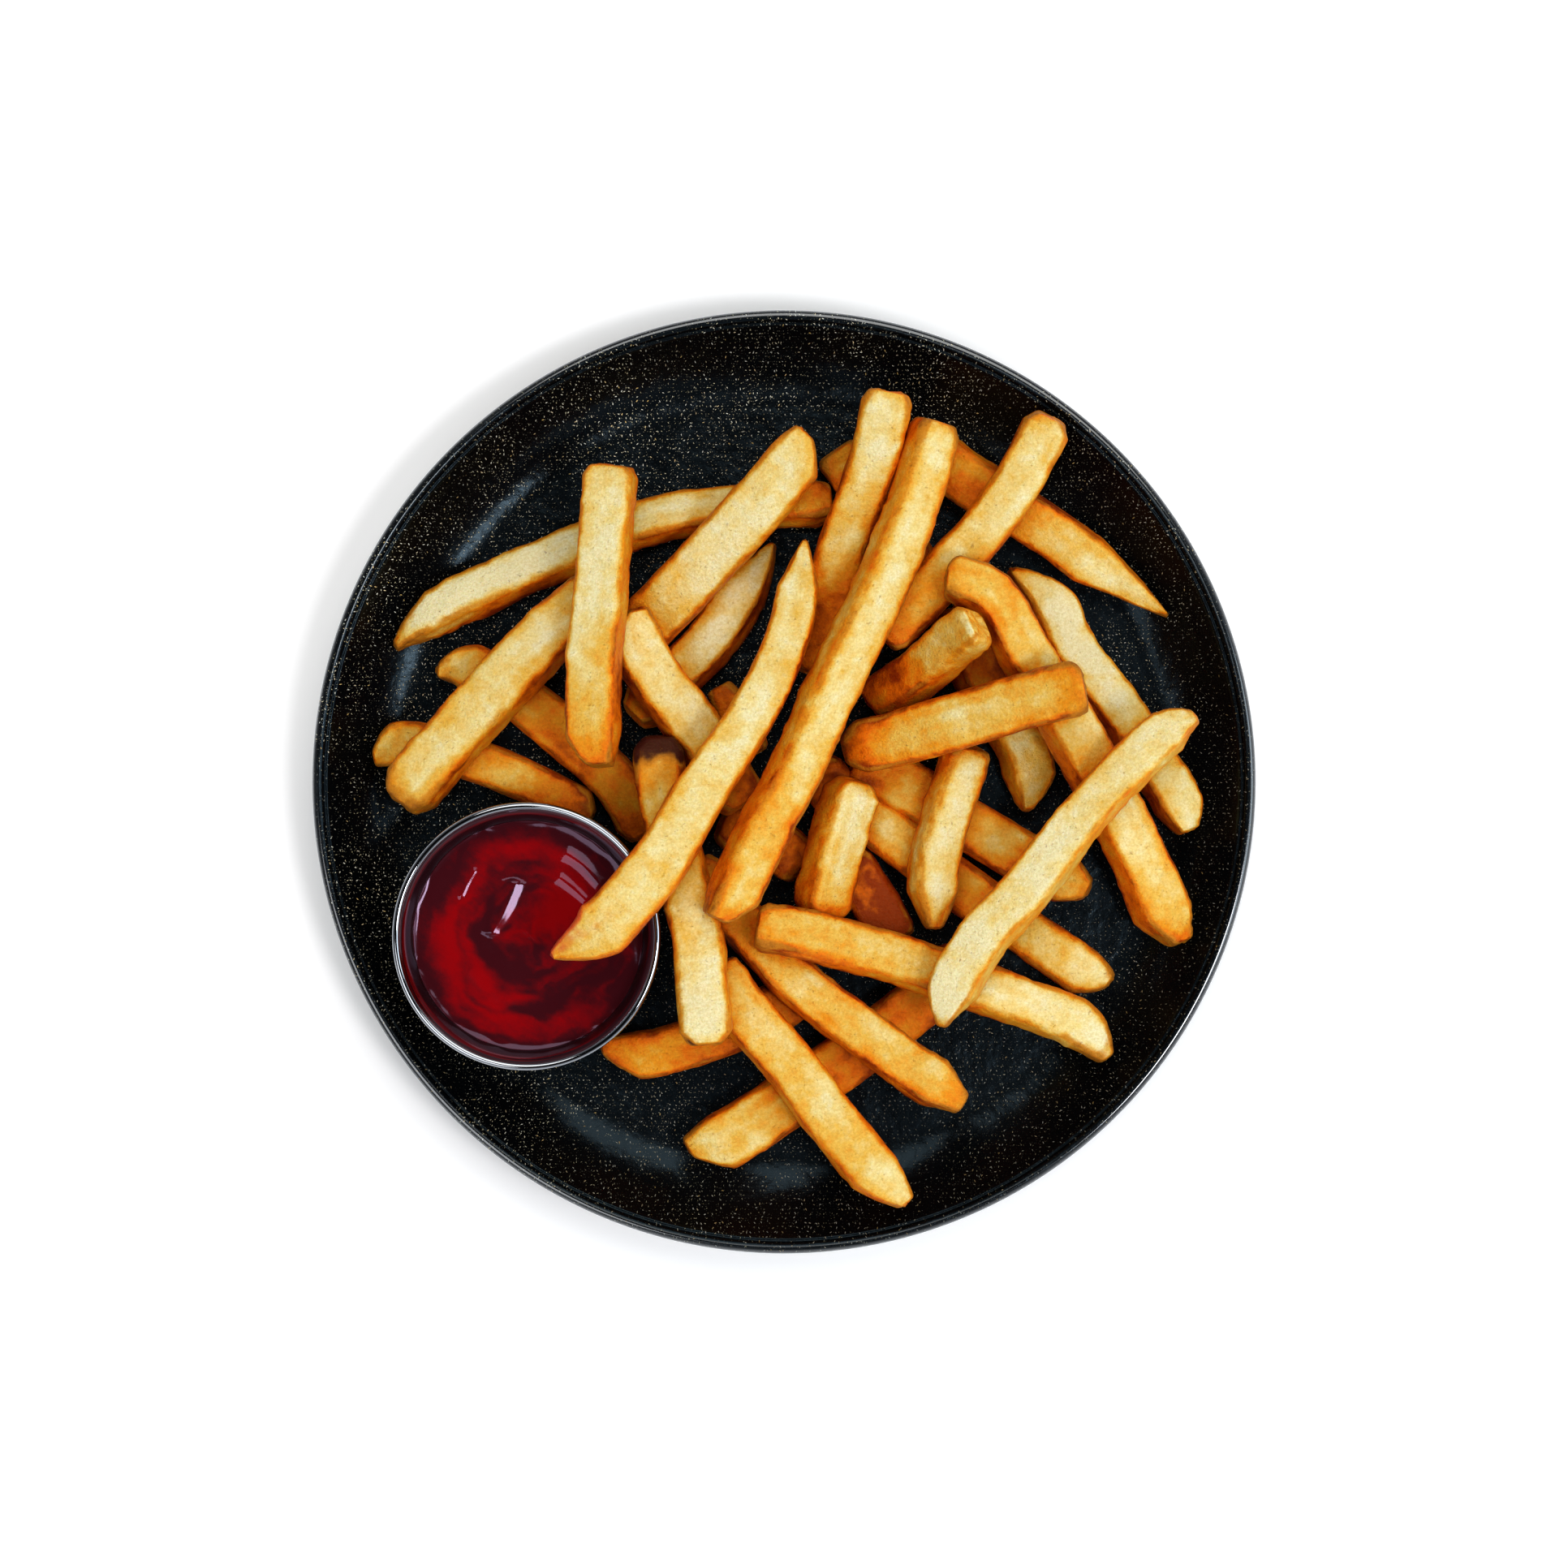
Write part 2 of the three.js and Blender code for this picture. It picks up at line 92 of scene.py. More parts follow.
class Shading:
    def __init__(self, tree):
        self.tree = tree

    # any other node: settings come first, then sockets by name, or by number as _0, _1
    def add(self, kind, settings=None, out=0, **links):
        node = self.tree.nodes.new("ShaderNode" + kind)
        for key, value in (settings or {}).items():
            if key == "stops":
                while len(node.color_ramp.elements) < len(value):
                    node.color_ramp.elements.new(0.5)
                for element, (place, colour) in zip(node.color_ramp.elements, value):
                    element.position = place
                    element.color = (*colour, 1.0)
            else:
                setattr(node, key, value)
        for key, value in links.items():
            plug(node.inputs[int(key[1:])] if key[1:].isdigit() else node.inputs[key], value)
        if isinstance(out, tuple):
            return [Wire(node.outputs[one]) for one in out]
        return Wire(node.outputs[out])

    def vector(self, operation, *values):
        out = "Value" if operation in ("LENGTH", "DOT_PRODUCT") else "Vector"
        links = {f"_{k}": value for k, value in enumerate(values)}
        return self.add("VectorMath", {"operation": operation}, out, **links)

    def mix(self, share, first, second, blend="MIX"):
        settings = {"data_type": "RGBA", "blend_type": blend}
        return self.add("Mix", settings, out=2, _0=share, _6=first, _7=second)


class Finish(Shading):
    def __init__(self, name):
        self.material = bpy.data.materials.new(name)
        self.material.use_nodes = True
        super().__init__(self.material.node_tree)
        self.shader = self.tree.nodes["Principled BSDF"]

    def place(self):  # where a point is, in millimetres
        here = self.add("TexCoord", out="Object")
        return self.add("VectorMath", {"operation": "SCALE"}, Vector=here, Scale=1 / mm)

    def fromAxis(self, where, x=0, y=0):  # distance from an upright axis
        across = self.vector("SUBTRACT", where, (x, y, 0))
        return self.vector("LENGTH", self.vector("MULTIPLY", across, (1, 1, 0)))

    def noise(self, where, size, detail=2.0, rough=0.5):
        return self.add("TexNoise", out="Fac", Vector=where, Scale=1 / size, Detail=detail, Roughness=rough)

    def attribute(self, name):
        return self.add("Attribute", {"attribute_name": name}, out="Fac")

    def bump(self, height, distance):
        return self.add("Bump", Height=height, Distance=distance, Strength=1.0)

    def set(self, **values):
        for key, value in values.items():
            plug(self.shader.inputs[key.replace("_", " ")], value)
        return self.material


# mesh work, in millimetres until the mesh is written

def makePiece(name, finish, points, faces, fields=None):
    mesh = bpy.data.meshes.new(name)
    mesh.from_pydata((points * mm).tolist(), [], faces)
    mesh.shade_smooth()
    for field, values in (fields or {}).items():
        layer = mesh.attributes.new(field, "FLOAT", "POINT")
        layer.data.foreach_set("value", np.asarray(values, dtype=np.float32))
    mesh.materials.append(finish)
    piece = bpy.data.objects.new(name, mesh)
    bpy.context.scene.collection.objects.link(piece)
    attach(piece, "root")
    return piece


def ringPoints(profile, around):  # a ring round the axis for each radius and height
    profile = np.array(profile)
    angle = np.linspace(0, 2 * math.pi, around, endpoint=False)
    return np.stack([
        np.outer(profile[:, 0], np.cos(angle)),
        np.outer(profile[:, 0], np.sin(angle)),
        np.repeat(profile[:, 1:], around, axis=1),
    ], axis=-1).reshape(-1, 3)


def shellFaces(rings, around, first=0):  # rings of points and, after them, a tip for each end
    last = first + (rings - 1) * around
    tips = last + around
    pairs = [(i, (i + 1) % around) for i in range(around)]
    faces = []
    for start in range(first, last, around):
        faces += [(start + i, start + j, start + around + j, start + around + i) for i, j in pairs]
    for i, j in pairs:
        faces += [(tips, first + j, first + i), (tips + 1, last + i, last + j)]
    return faces


def turned(profile, around):  # lathe: the profile runs from the axis back to the axis
    tips = [(0, 0, profile[end][1]) for end in (0, -1)]
    points = np.vstack([ringPoints(profile[1:-1], around)] + tips)
    return points, shellFaces(len(profile) - 2, around)


def arc(centreX, centreZ, radius, start, end, steps):  # degrees
    angles = np.radians(np.linspace(start, end, steps + 1))
    return [(centreX + radius * math.cos(a), centreZ + radius * math.sin(a)) for a in angles]


noiseCells = 32
noiseTable = random.uniform(-1, 1, (noiseCells,) * 3)
farOff = 1000  # keeps the noise table's cells above 0


def smooth(share):
    return share * share * (3 - 2 * share)


def lumps(points, size):  # smooth random field from -1 to 1, size is the size of a lump
    where = points / size + farOff
    cell = np.floor(where).astype(int)
    part = smooth(where - cell)
    total = np.zeros(points.shape[:-1])
    for corner in itertools.product((0, 1), repeat=3):
        weight = np.prod(np.where(corner, part, 1 - part), axis=-1)
        at = (cell + corner) % noiseCells
        total += weight * noiseTable[at[..., 0], at[..., 1], at[..., 2]]
    return total


def layered(points, layers):  # lumps of several sizes, each given as (size, amount)
    return sum(amount * lumps(points, size) for size, amount in layers)


gap = 0.3  # air between pieces that touch

plate = {
    "radius": 110,
    "rimHeight": 18,
    "lipRadius": 1.4,
    "floorHeight": 3.5,
    "flatRadius": 88,
    "wallRadius": 106.6,
    "wallRise": 12.6,
    "wallPower": 2.2,
    "undersideHeight": 1,
    "footRadius": 71,
    "footRingInner": 65,
    "footDiscRadius": 60,
    "footGroove": 0.7,
    "around": 320,
    "black": (0.0009, 0.0011, 0.0014),
    "roughness": 0.17,
    "specular": 0.17,
    "glossTint": (0.52, 0.80, 1.0),
    "lipCoat": 0.9,  # the lip is polished by handling
    "lipCoatTint": (0.85, 0.92, 1.0),
    "relief": 0.05,
    "husks": (1.0, (0.26, 0.09), 0.45),  # spacing, half length and half width, share that shows
    "dust": (0.6, (0.12, 0.09), 0.5),
    "huskColours": [(0.0, (0.86, 0.72, 0.36)), (0.5, (0.95, 0.85, 0.52)), (0.85, (0.95, 0.94, 0.80)),
                    (1.0, (0.80, 0.52, 0.14))],
    "dustColour": (0.60, 0.56, 0.40),
    "fleckFlattening": 0.3,
    "fleckAndSheenSide": (-0.0065, 0.0065, 0),  # the flecks show most towards here: real clusters, and painted sheen on the plate's lit top-left wall
}

cup = {
    "x": -59.2,
    "y": -35.5,
    "height": 30,
    "rimRadius": 30.85,
    "beadRadius": 0.85,
    "baseRadius": 21.4,
    "topRadius": 29.3,
    "wall": 0.8,
    "around": 240,
    "steel": ((0.27, 0.29, 0.32), (0.40, 0.41, 0.43)),
    "turningMarks": (0.30, 0.30, 0.33),
    "film": (0.045, 0.012, 0.018),  # sauce on the steel above the ketchup
    "relief": 0.012,
}


def plateHeight(radius):
    up = (radius - plate["flatRadius"]) / (plate["wallRadius"] - plate["flatRadius"])
    return plate["floorHeight"] + plate["wallRise"] * max(0.0, up) ** plate["wallPower"]


def plateProfile():
    lip = plate["lipRadius"]
    groove = plate["footGroove"]
    top = plate["rimHeight"]
    edge = plate["radius"]
    wallTop = plateHeight(plate["wallRadius"])
    profile = [(0, 0), (20, 0), (40, 0), (plate["footDiscRadius"] - 0.3, 0)]
    profile += [(plate["footDiscRadius"], 0.1), (plate["footDiscRadius"] + groove, groove)]
    profile += [(plate["footRingInner"] - groove, groove), (plate["footRingInner"], 0.1)]
    profile += [(plate["footRingInner"] + 0.4, 0), (plate["footRadius"] - 0.4, 0)]
    profile += [(plate["footRadius"], 0.1), (plate["footRadius"] + groove, groove)]
    profile += [(plate["footRadius"] + 1.2, plate["undersideHeight"])]
    for up in np.linspace(0, 1, 25):
        radius = plate["flatRadius"] + (edge - 0.8 - plate["flatRadius"]) * up
        profile.append((radius, plate["undersideHeight"] + (top - 4) * up ** plate["wallPower"]))
    profile += arc(edge - lip, top - lip, lip, 0, 150, 14)
    step = plate["wallRadius"]
    profile += [(step + 0.85, top - 1.3), (step + 0.7, top - 1.75), (step + 0.5, wallTop - 0.15)]
    profile += [(step + 0.2, wallTop + 0.05)]
    for radius in np.linspace(step - 0.1, plate["flatRadius"], 34):
        profile.append((radius, plateHeight(radius)))
    profile += [(radius, plate["floorHeight"]) for radius in (80, 60, 40, 20, 8)]
    return profile + [(0, plate["floorHeight"])]


def flecks(finish, where, spacing, size, amount):  # long grains, each lying its own way
    flat = finish.vector("MULTIPLY", where, (1, 1, plate["fleckFlattening"]))
    centre, draw = finish.add("TexVoronoi", out=("Position", "Color"), Vector=flat, Scale=1 / spacing)
    turn, chance, tone = finish.add("SeparateColor", out=(0, 1, 2), Color=draw)
    offset = finish.vector("SUBTRACT", flat, centre)
    lying = finish.add("VectorRotate", {"rotation_type": "Z_AXIS"}, Vector=offset, Angle=turn * math.tau)
    longHalf, shortHalf = size
    stretch = (1 / longHalf, 1 / shortHalf, 0.5 / spacing)
    reach = finish.vector("LENGTH", finish.vector("MULTIPLY", lying, stretch))
    kept = chance.step(1 - amount - 0.01, 1 - amount)
    return (1 - (reach / (0.5 + 0.6 * tone)).step(0.7, 1.15)) * kept, tone


def plateFinish():
    finish = Finish("plate_black")
    where = finish.place()
    husks, huskTone = flecks(finish, where, *plate["husks"])
    dust, dustTone = flecks(finish, where, *plate["dust"])
    huskColour = finish.add("ValToRGB", {"stops": plate["huskColours"]}, Fac=huskTone)
    sheenSlant = finish.vector("DOT_PRODUCT", where, plate["fleckAndSheenSide"])
    # flecks and dust fade towards the lower right: real patches, and painted sheen on the lit top-left wall
    patchAndSheen = finish.noise(where, 24, 2).step(0.3, 0.7) * (0.12 + 0.88 * sheenSlant.step(-1.0, 0.6))
    colour = finish.mix(dust * (0.012 + 0.45 * dustTone * patchAndSheen), plate["black"], plate["dustColour"])
    colour = finish.mix(husks * (0.15 + 0.85 * patchAndSheen) * (0.5 + 0.5 * huskTone), colour, huskColour)
    peel = finish.noise(where, 1.1, 2, 0.6)
    waves = finish.noise(where, 7, 2, 0.5)
    pits = finish.noise(where, 0.35, 1, 0.5)
    normal = finish.bump(peel + 6 * waves + 0.25 * pits, plate["relief"] * mm)
    rough = plate["roughness"] + 0.12 * finish.noise(where, 6, 3) + 0.25 * husks
    lip = finish.fromAxis(where).step(plate["radius"] - 2.0, plate["radius"] - 1.2)
    return finish.set(
        Base_Color=colour, Roughness=rough, Normal=normal, IOR=1.5,
        Specular_IOR_Level=plate["specular"], Specular_Tint=plate["glossTint"],
        Coat_Weight=plate["lipCoat"] * lip, Coat_Roughness=0.12, Coat_IOR=1.9,
        Coat_Tint=plate["lipCoatTint"],
    )


points, faces = turned(plateProfile(), plate["around"])
platePiece = makePiece("coupe_plate", plateFinish(), points, faces)
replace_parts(platePiece, "plate")
print("plate turned,", len(faces), "faces")


def cupInnerRadius(height):
    up = (height - cup["wall"]) / (cup["height"] - cup["beadRadius"] - cup["wall"])
    return cup["baseRadius"] + (cup["topRadius"] - cup["baseRadius"]) * up - cup["wall"]


def cupProfile():
    beadX = cup["rimRadius"] - cup["beadRadius"]
    beadZ = cup["height"] - cup["beadRadius"]
    base = cup["baseRadius"]
    floor = cup["wall"]
    corner = cupInnerRadius(2.5)
    profile = [(0, 0), (8, 0), (base - 1.5, 0), (base - 1.1, 0.05), (base - 0.5, 0.35)]
    profile += [(base - 0.1, 0.9), (base, 1.5)]
    profile += arc(beadX, beadZ, cup["beadRadius"], -110, 150, 32)
    for height in np.linspace(beadZ - 0.9, 2.5, 14):
        profile.append((cupInnerRadius(height), height))
    profile += [(corner - 0.35, floor + 0.9), (corner - 0.8, floor + 0.3), (corner - 1.3, floor)]
    return profile + [(8, floor), (0, floor)]


def steelFinish():
    finish = Finish("spun_steel")
    where = finish.place()
    turns = finish.vector("MULTIPLY", where, (0.06, 0.06, 1.0))
    rings = finish.noise(turns, 0.34, 3, 0.6)
    smear = finish.noise(where, 7, 3, 0.6)
    colour = finish.mix(smear, *cup["steel"])
    colour = finish.mix(0.35 * rings, colour, cup["turningMarks"])
    height = finish.add("SeparateXYZ", Vector=where, out="Z")
    belowRim = 1 - height.step(cup["height"] + 0.5, cup["height"] + 1.5)
    normal = finish.bump(rings * belowRim, cup["relief"] * mm)
    rough = 0.06 + belowRim * (0.08 + 0.12 * smear + 0.08 * rings)
    radius = finish.fromAxis(where, cup["x"], cup["y"])
    low, high = cup["height"] / 2, cup["height"]
    flare = (cupInnerRadius(high) - cupInnerRadius(low)) / (high - low)
    wallAt = cupInnerRadius(low) + flare * (height - plate["floorHeight"] - gap - low)
    inside = 1 - (radius - wallAt).step(0.2, 0.5)
    colour = finish.mix(inside * belowRim * (0.55 + 0.35 * smear), colour, cup["film"])
    return finish.set(Base_Color=colour, Roughness=rough, Normal=normal, Metallic=1.0)


cupPlace = (cup["x"], cup["y"], plate["floorHeight"] + gap)
points, faces = turned(cupProfile(), cup["around"])
cupPiece = makePiece("steel_sauce_cup", steelFinish(), points + cupPlace, faces)
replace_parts(cupPiece, "sauce_cup")
print("cup turned,", len(faces), "faces")

# ketchup: strokes are centre lines from the middle of the cup, with width, height and lit redness;
# lit redness paints light and shade: red where the swirl is lit, maroon where it is in painted shade

ketchup = {
    "level": 21.8,
    "rings": 110,
    "around": 260,
    "intoWall": 0.15,
    "strokes": [  # width and height may differ from a stroke's start to its end
        ([(-12, 12), (-8.5, 19.6), (-0.3, 21.6), (7.8, 19.9), (13.5, 14.8), (17, 8)], 1.7, 0.05, 0.7),
        ([(-2, 16), (4.5, 13.5), (8, 9), (5.5, 4), (0, 1), (-3, -2.5), (-1.5, -5)], (6.5, 2.0), 0.1, 0.85),
        ([(-7, 17), (-12.6, 8.8), (-18.5, 2), (-19.6, -5.2), (-18.4, -11.5), (-14.5, -17.5), (-8, -21),
          (0.8, -22), (9, -20.5), (14.9, -16.5), (18.6, -10.5), (19.6, -5)], 3.6, 0.1, 0.65),
        ([(-14.9, 1.8), (-13.6, -4.1), (-10.3, -10.4), (-5.6, -13.6), (0.8, -13.8), (6.1, -12)],
         2.0, 0.06, 0.6),
        ([(-3.2, 13.4), (-3.6, 11.2), (-4.8, 8.0), (-6.4, 4.6), (-8.2, 1.6), (-8.6, -0.6)],
         (2.0, 1.5), (0.70, 0.50), 0.0),
        ([(-15.9, 8.4), (-14.2, 12), (-12, 15.6)], 0.6, 0.24, 0.0),
        ([(8, 19.5), (12.5, 16.5), (17.5, 11)], (1.6, 1.1), (0.44, 0.3), 0.0),
        ([(6.5, 13.8), (10, 11.2), (14, 7.5)], (1.2, 0.8), (0.31, 0.2), 0.0),
        # strokes of negative lit redness paint shade: the swirl's dark hollows and the shadow under the
        # fry's tip
        ([(-5, 17), (-8.5, 9), (-9.5, 1), (-8.5, -5), (-3, -8), (3, -8.5), (9, -5)], 1.5, -0.04, -0.5),
        ([(-8, -14.5), (0, -17.5), (8, -15), (12, -9)], 1.3, -0.03, -0.5),
    ],
    "wander": [(6, 1.1), (2.2, 0.3)],  # how the strokes stray, as sizes and amounts of lumps
    "swells": [(5, 0.06), (2.2, 0.015)],
    "clouds": [(3.4, 0.1), (11, 0.2)],  # uneven lit redness, part of the painted light and shade
    "streaks": [(1.5, 0.28)],  # streaks of painted light and shade that run round the cup
    "cling": (0.8, 0.45),  # reach and height of what clings to the steel
    "plainLitRedness": 0.30,
    # lit ketchup, and the same ketchup in painted shade
    "red": (0.255, 0.0015, 0.003),
    "shadedMaroon": (0.042, 0.0035, 0.006),
    "glossTint": (0.9, 0.68, 1.0),
    "relief": 0.012,
}


def between(places, marks, values):  # both columns of the values at places among their marks
    return np.column_stack([np.interp(places, marks, column) for column in values.T])


def splinePoints(line, count):  # even points on a smooth curve through the line's points
    line = np.array(line, dtype=float)
    full = np.vstack([2 * line[0] - line[1], line, 2 * line[-1] - line[-2]])
    t = np.linspace(0, 1, 40, endpoint=False)[:, None]
    runs = []
    for a, b, c, d in zip(full, full[1:], full[2:], full[3:]):
        runs.append(0.5 * (2 * b + (c - a) * t + (2 * a - 5 * b + 4 * c - d) * t ** 2
                           + (3 * b - a - 3 * c + d) * t ** 3))
    dense = np.vstack(runs + [line[-1:]])
    run = np.concatenate([[0], np.cumsum(np.linalg.norm(np.diff(dense, axis=0), axis=1))])
    return between(np.linspace(0, run[-1], count), run, dense), run[-1]


def strokeReach(flat, line):  # distance from each point to a stroke, and how far along it is
    path = splinePoints(line, 60)[0]
    apart = np.linalg.norm(flat[:, None, :] - path[None], axis=2)
    return apart.min(axis=1), apart.argmin(axis=1) / (len(path) - 1)


def ketchupTop(flat, away):  # height and lit redness, which paints light and shade, over points from the cup's middle
    spread = np.column_stack([flat, np.zeros(len(flat))])
    wander = np.column_stack([layered(spread + shift, ketchup["wander"]) for shift in (0, 50)])
    height = np.zeros(len(flat))
    red = np.full(len(flat), ketchup["plainLitRedness"])
    for line, width, rise, litRedness in ketchup["strokes"]:
        ridge = litRedness == 0  # ridges keep their form and end sharply
        apart, along = strokeReach(flat + wander * (0.15 if ridge else 1), line)
        fade = smooth(np.clip(np.minimum(along, 1 - along) * (12 if ridge else 2.6), 0, 1))
        width, rise = (np.interp(along, (0, 1), np.broadcast_to(pair, 2)) for pair in (width, rise))
        width = width * (0.4 + 0.6 * fade)  # strokes end in a point
        height += rise * fade * np.exp(-(apart / width) ** 2)
        red += litRedness * fade * np.exp(-(apart / (1.3 * width)) ** 2)
    height = (height + layered(spread, ketchup["swells"])) * np.clip(away / 2.5, 0, 1)
    reach, climb = ketchup["cling"]
    height += climb * np.exp(-away / reach) * (1 + 0.7 * lumps(spread, 3.5))
    # painted shade: the ketchup turns maroon within 7 mm of the cup's wall
    red *= np.clip((away - 0.5) / 7, 0, 1)
    bent = flat + 3 * wander
    fromMiddle = np.linalg.norm(bent, axis=1)[:, None]
    ringed = np.hstack([fromMiddle, 4 * bent / (fromMiddle + 1)])
    red += layered(spread, ketchup["clouds"]) + layered(ringed, ketchup["streaks"])
    return height, red


def ketchupPiece():
    wallRadius = cupInnerRadius(ketchup["level"]) + ketchup["intoWall"]
    around = ketchup["around"]
    shares = np.linspace(0, 1, ketchup["rings"] + 1)[1:]
    top = ringPoints([(wallRadius * share, ketchup["level"]) for share in shares], around)
    height, red = ketchupTop(top[:, :2], wallRadius - np.linalg.norm(top[:, :2], axis=1))
    top[:, 2] += height
    base = cup["wall"] + gap
    profile = [(cupInnerRadius(h) + ketchup["intoWall"] * (h > 4), h) for h in (16, 10, 4, 2.8)]
    profile += [(cupInnerRadius(2.5) - 1.2 - gap, base)]
    middle = (0, 0, ketchup["level"] + height[:around].mean())
    points = np.vstack([top, ringPoints(profile, around), middle, (0, 0, base)])
    # the rings run downwards, so the faces are turned over
    faces = [face[::-1] for face in shellFaces(ketchup["rings"] + len(profile), around)]
    field = np.concatenate([red, np.zeros(len(points) - len(red))])
    field[-2] = red[:around].mean()
    return makePiece("ketchup_swirl", ketchupFinish(), points + cupPlace, faces, {"red": field})


def ketchupFinish():
    finish = Finish("wet_ketchup")
    where = finish.place()
    inCup = finish.vector("SUBTRACT", where, (cup["x"], cup["y"], 0))
    swung = finish.add("VectorRotate", {"rotation_type": "Z_AXIS"}, Vector=inCup, Angle=0.6)
    drawn = finish.vector("MULTIPLY", swung, (0.45, 1, 1))
    streak = finish.noise(drawn, 2.4, 4, 0.7) + 0.5 * (finish.noise(where, 1.1, 3, 0.7) - 0.5)
    # painted light and shade: red where the surface is lit, maroon where it is shaded
    red = (finish.attribute("red") + 0.6 * (streak - 0.5)).step(0.0, 1.0)
    return finish.set(
        Base_Color=finish.mix(red, ketchup["shadedMaroon"], ketchup["red"]),
        Roughness=0.05 + 0.08 * finish.noise(where, 3, 2),
        Normal=finish.bump(finish.noise(where, 1.6, 2, 0.5), ketchup["relief"] * mm),
        IOR=1.4, Specular_IOR_Level=0.5, Specular_Tint=ketchup["glossTint"],
    )


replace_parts(ketchupPiece(), "ketchup")
print("ketchup swirled")

# Fries, in the order in which they lie: a centre line seen from above, widths at the two ends, a roll
# that turns the left side up, the ends as (taper length, share of the width left at the tip, side of
# the tip), tone from pale 0 to deep 1 at the start, middle and end (for fries low in the heap, deep
# tone is partly painted shade), crust at the ends, crust on edges (on steep sides partly painted shade)

fryCut = {
    "chamfer": 0.17,
    "thicknessBase": 5,
    "sink": 0.5,
    "contactShare": 0.45,
    "taperPower": 1.15,
    "cornerRadius": (1.6, 2.7),
    "cornerFade": 1.6,  # how far down a side its corner is still felt
    "bulge": 0.18,
    "cornerSteps": 5,
    "sidePlaces": (0.06, 0.14, 0.25, 0.38, 0.5, 0.62, 0.75, 0.86, 0.94),
    "endRounding": 0.7,
    "endLean": 1.6,  # most that the top of an end is drawn in, unless a fry gives its own
    "meshStep": 0.65,
    "capRings": 6,
    "swell": [(14, 0.02)],  # sizes and amounts of lumps: in the width
    "bow": [(22, 0.2)],  # sideways
    "skin": [(9, 0.3), (4, 0.2), (2, 0.09)],  # all over
    "crumbs": [(1.4, 0.24), (2.7, 0.16)],  # on corners and ends
    "crumbReach": 3,
}
blunt = (3, 0.8, 0)

bottomFries = [
    dict(line=[(-93.3, 34), (-83, 39), (-73, 44), (-50, 54), (-25.5, 62.6), (11.5, 65.5)],
         width=(11.5, 11), roll=-18, ends=((13, 0.2, -0.6), (4, 0.7, 0)),
         tone=(-0.1, -0.1, 0.35), crust=(2.4, 0.4), edge=1.2),
    dict(line=[(-81.5, 27.5), (-73.5, 26.5), (-62, 19.5), (-50.5, 10.5), (-39, -0.5), (-32, -12.5)],
         width=(11.5, 11.5), ends=((8, 0.25, -0.3), (4, 0.7, 0)),
         tone=(0.4, 0.75, 1.0), crust=(1.2, 0.3), edge=0.9),
    dict(line=[(-97, 7), (-88.5, 9), (-76.5, 6.5), (-58.5, -0.5), (-44.5, -8)],
         width=(10.5, 10), ends=((6, 0.35, -0.5), (4, 0.5, -0.5)),
         tone=(0.4, 0.55, 0.5), crust=(0.7, 1.1), edge=0.9),
    dict(line=[(12, 78.5), (22.5, 63), (35, 44.5)],
         width=(11.5, 11.5), ends=((2, 0.8, 0), blunt),
         tone=(0.3, 0.35, 0.5), crust=(0.9, 0.3), edge=0.7),
    dict(line=[(29, 81.5), (41, 72.5), (54.5, 64), (69, 54), (90.5, 38.5)],
         width=(13, 12), roll=10, ends=((3, 0.7, 0), (24, 0.08, 0)),
         tone=(0.45, 0.45, 0.3), crust=(0.3, 1.2), edge=1.0),
    dict(line=[(55, 52), (62.5, 42), (68, 30.5), (77, 18.5), (90.5, -1.5), (95, -12)],
         width=(12.5, 11.5), roll=-15, ends=((13, 0.15, -0.5), (7, 0.45, 0)),
         tone=(0.1, -0.1, 0.1), crust=(1.5, 0.4), edge=1.0),
    dict(line=[(39, 41), (45, 26.5), (53, 13), (57, 4.5), (58, -7.5)],
         width=(12, 12.5), roll=-20, ends=(blunt, (9, 0.2, -0.2)),
         tone=(0.2, -0.15, -0.25), crust=(0.3, 1.0), edge=1.0),
    # the next two lie low in the heap: their deep tones are painted shade
    dict(line=[(-15.5, -9), (-3, -14), (5, -20.5)],
         width=(12, 12), ends=(blunt, blunt),
         tone=(0.9, 0.9, 0.9), crust=(0.6, 0.6), edge=0.6),
    dict(line=[(14, -17), (20.5, -27), (27, -38)],
         width=(11.5, 11.5), ends=(blunt, blunt),
         tone=(1.3, 1.35, 1.35), crust=(0.6, 0.6), edge=0.6),
    dict(line=[(16.5, 5.5), (28.5, -1), (50.5, -14.5), (72, -25.5)],
         width=(13, 12), ends=(blunt, (7, 0.4, 0)),
         tone=(0.5, 0.4, 0.35), crust=(0.3, 0.9), edge=0.8),
    dict(line=[(-21.8, -88.2), (-8, -80.5), (10.5, -68), (28, -55), (42, -41)],
         width=(13.5, 12.5), ends=((8, 0.35, 0.6), blunt),
         tone=(0.4, 0.55, 0.6), crust=(0.8, 0.3), edge=0.7),
]

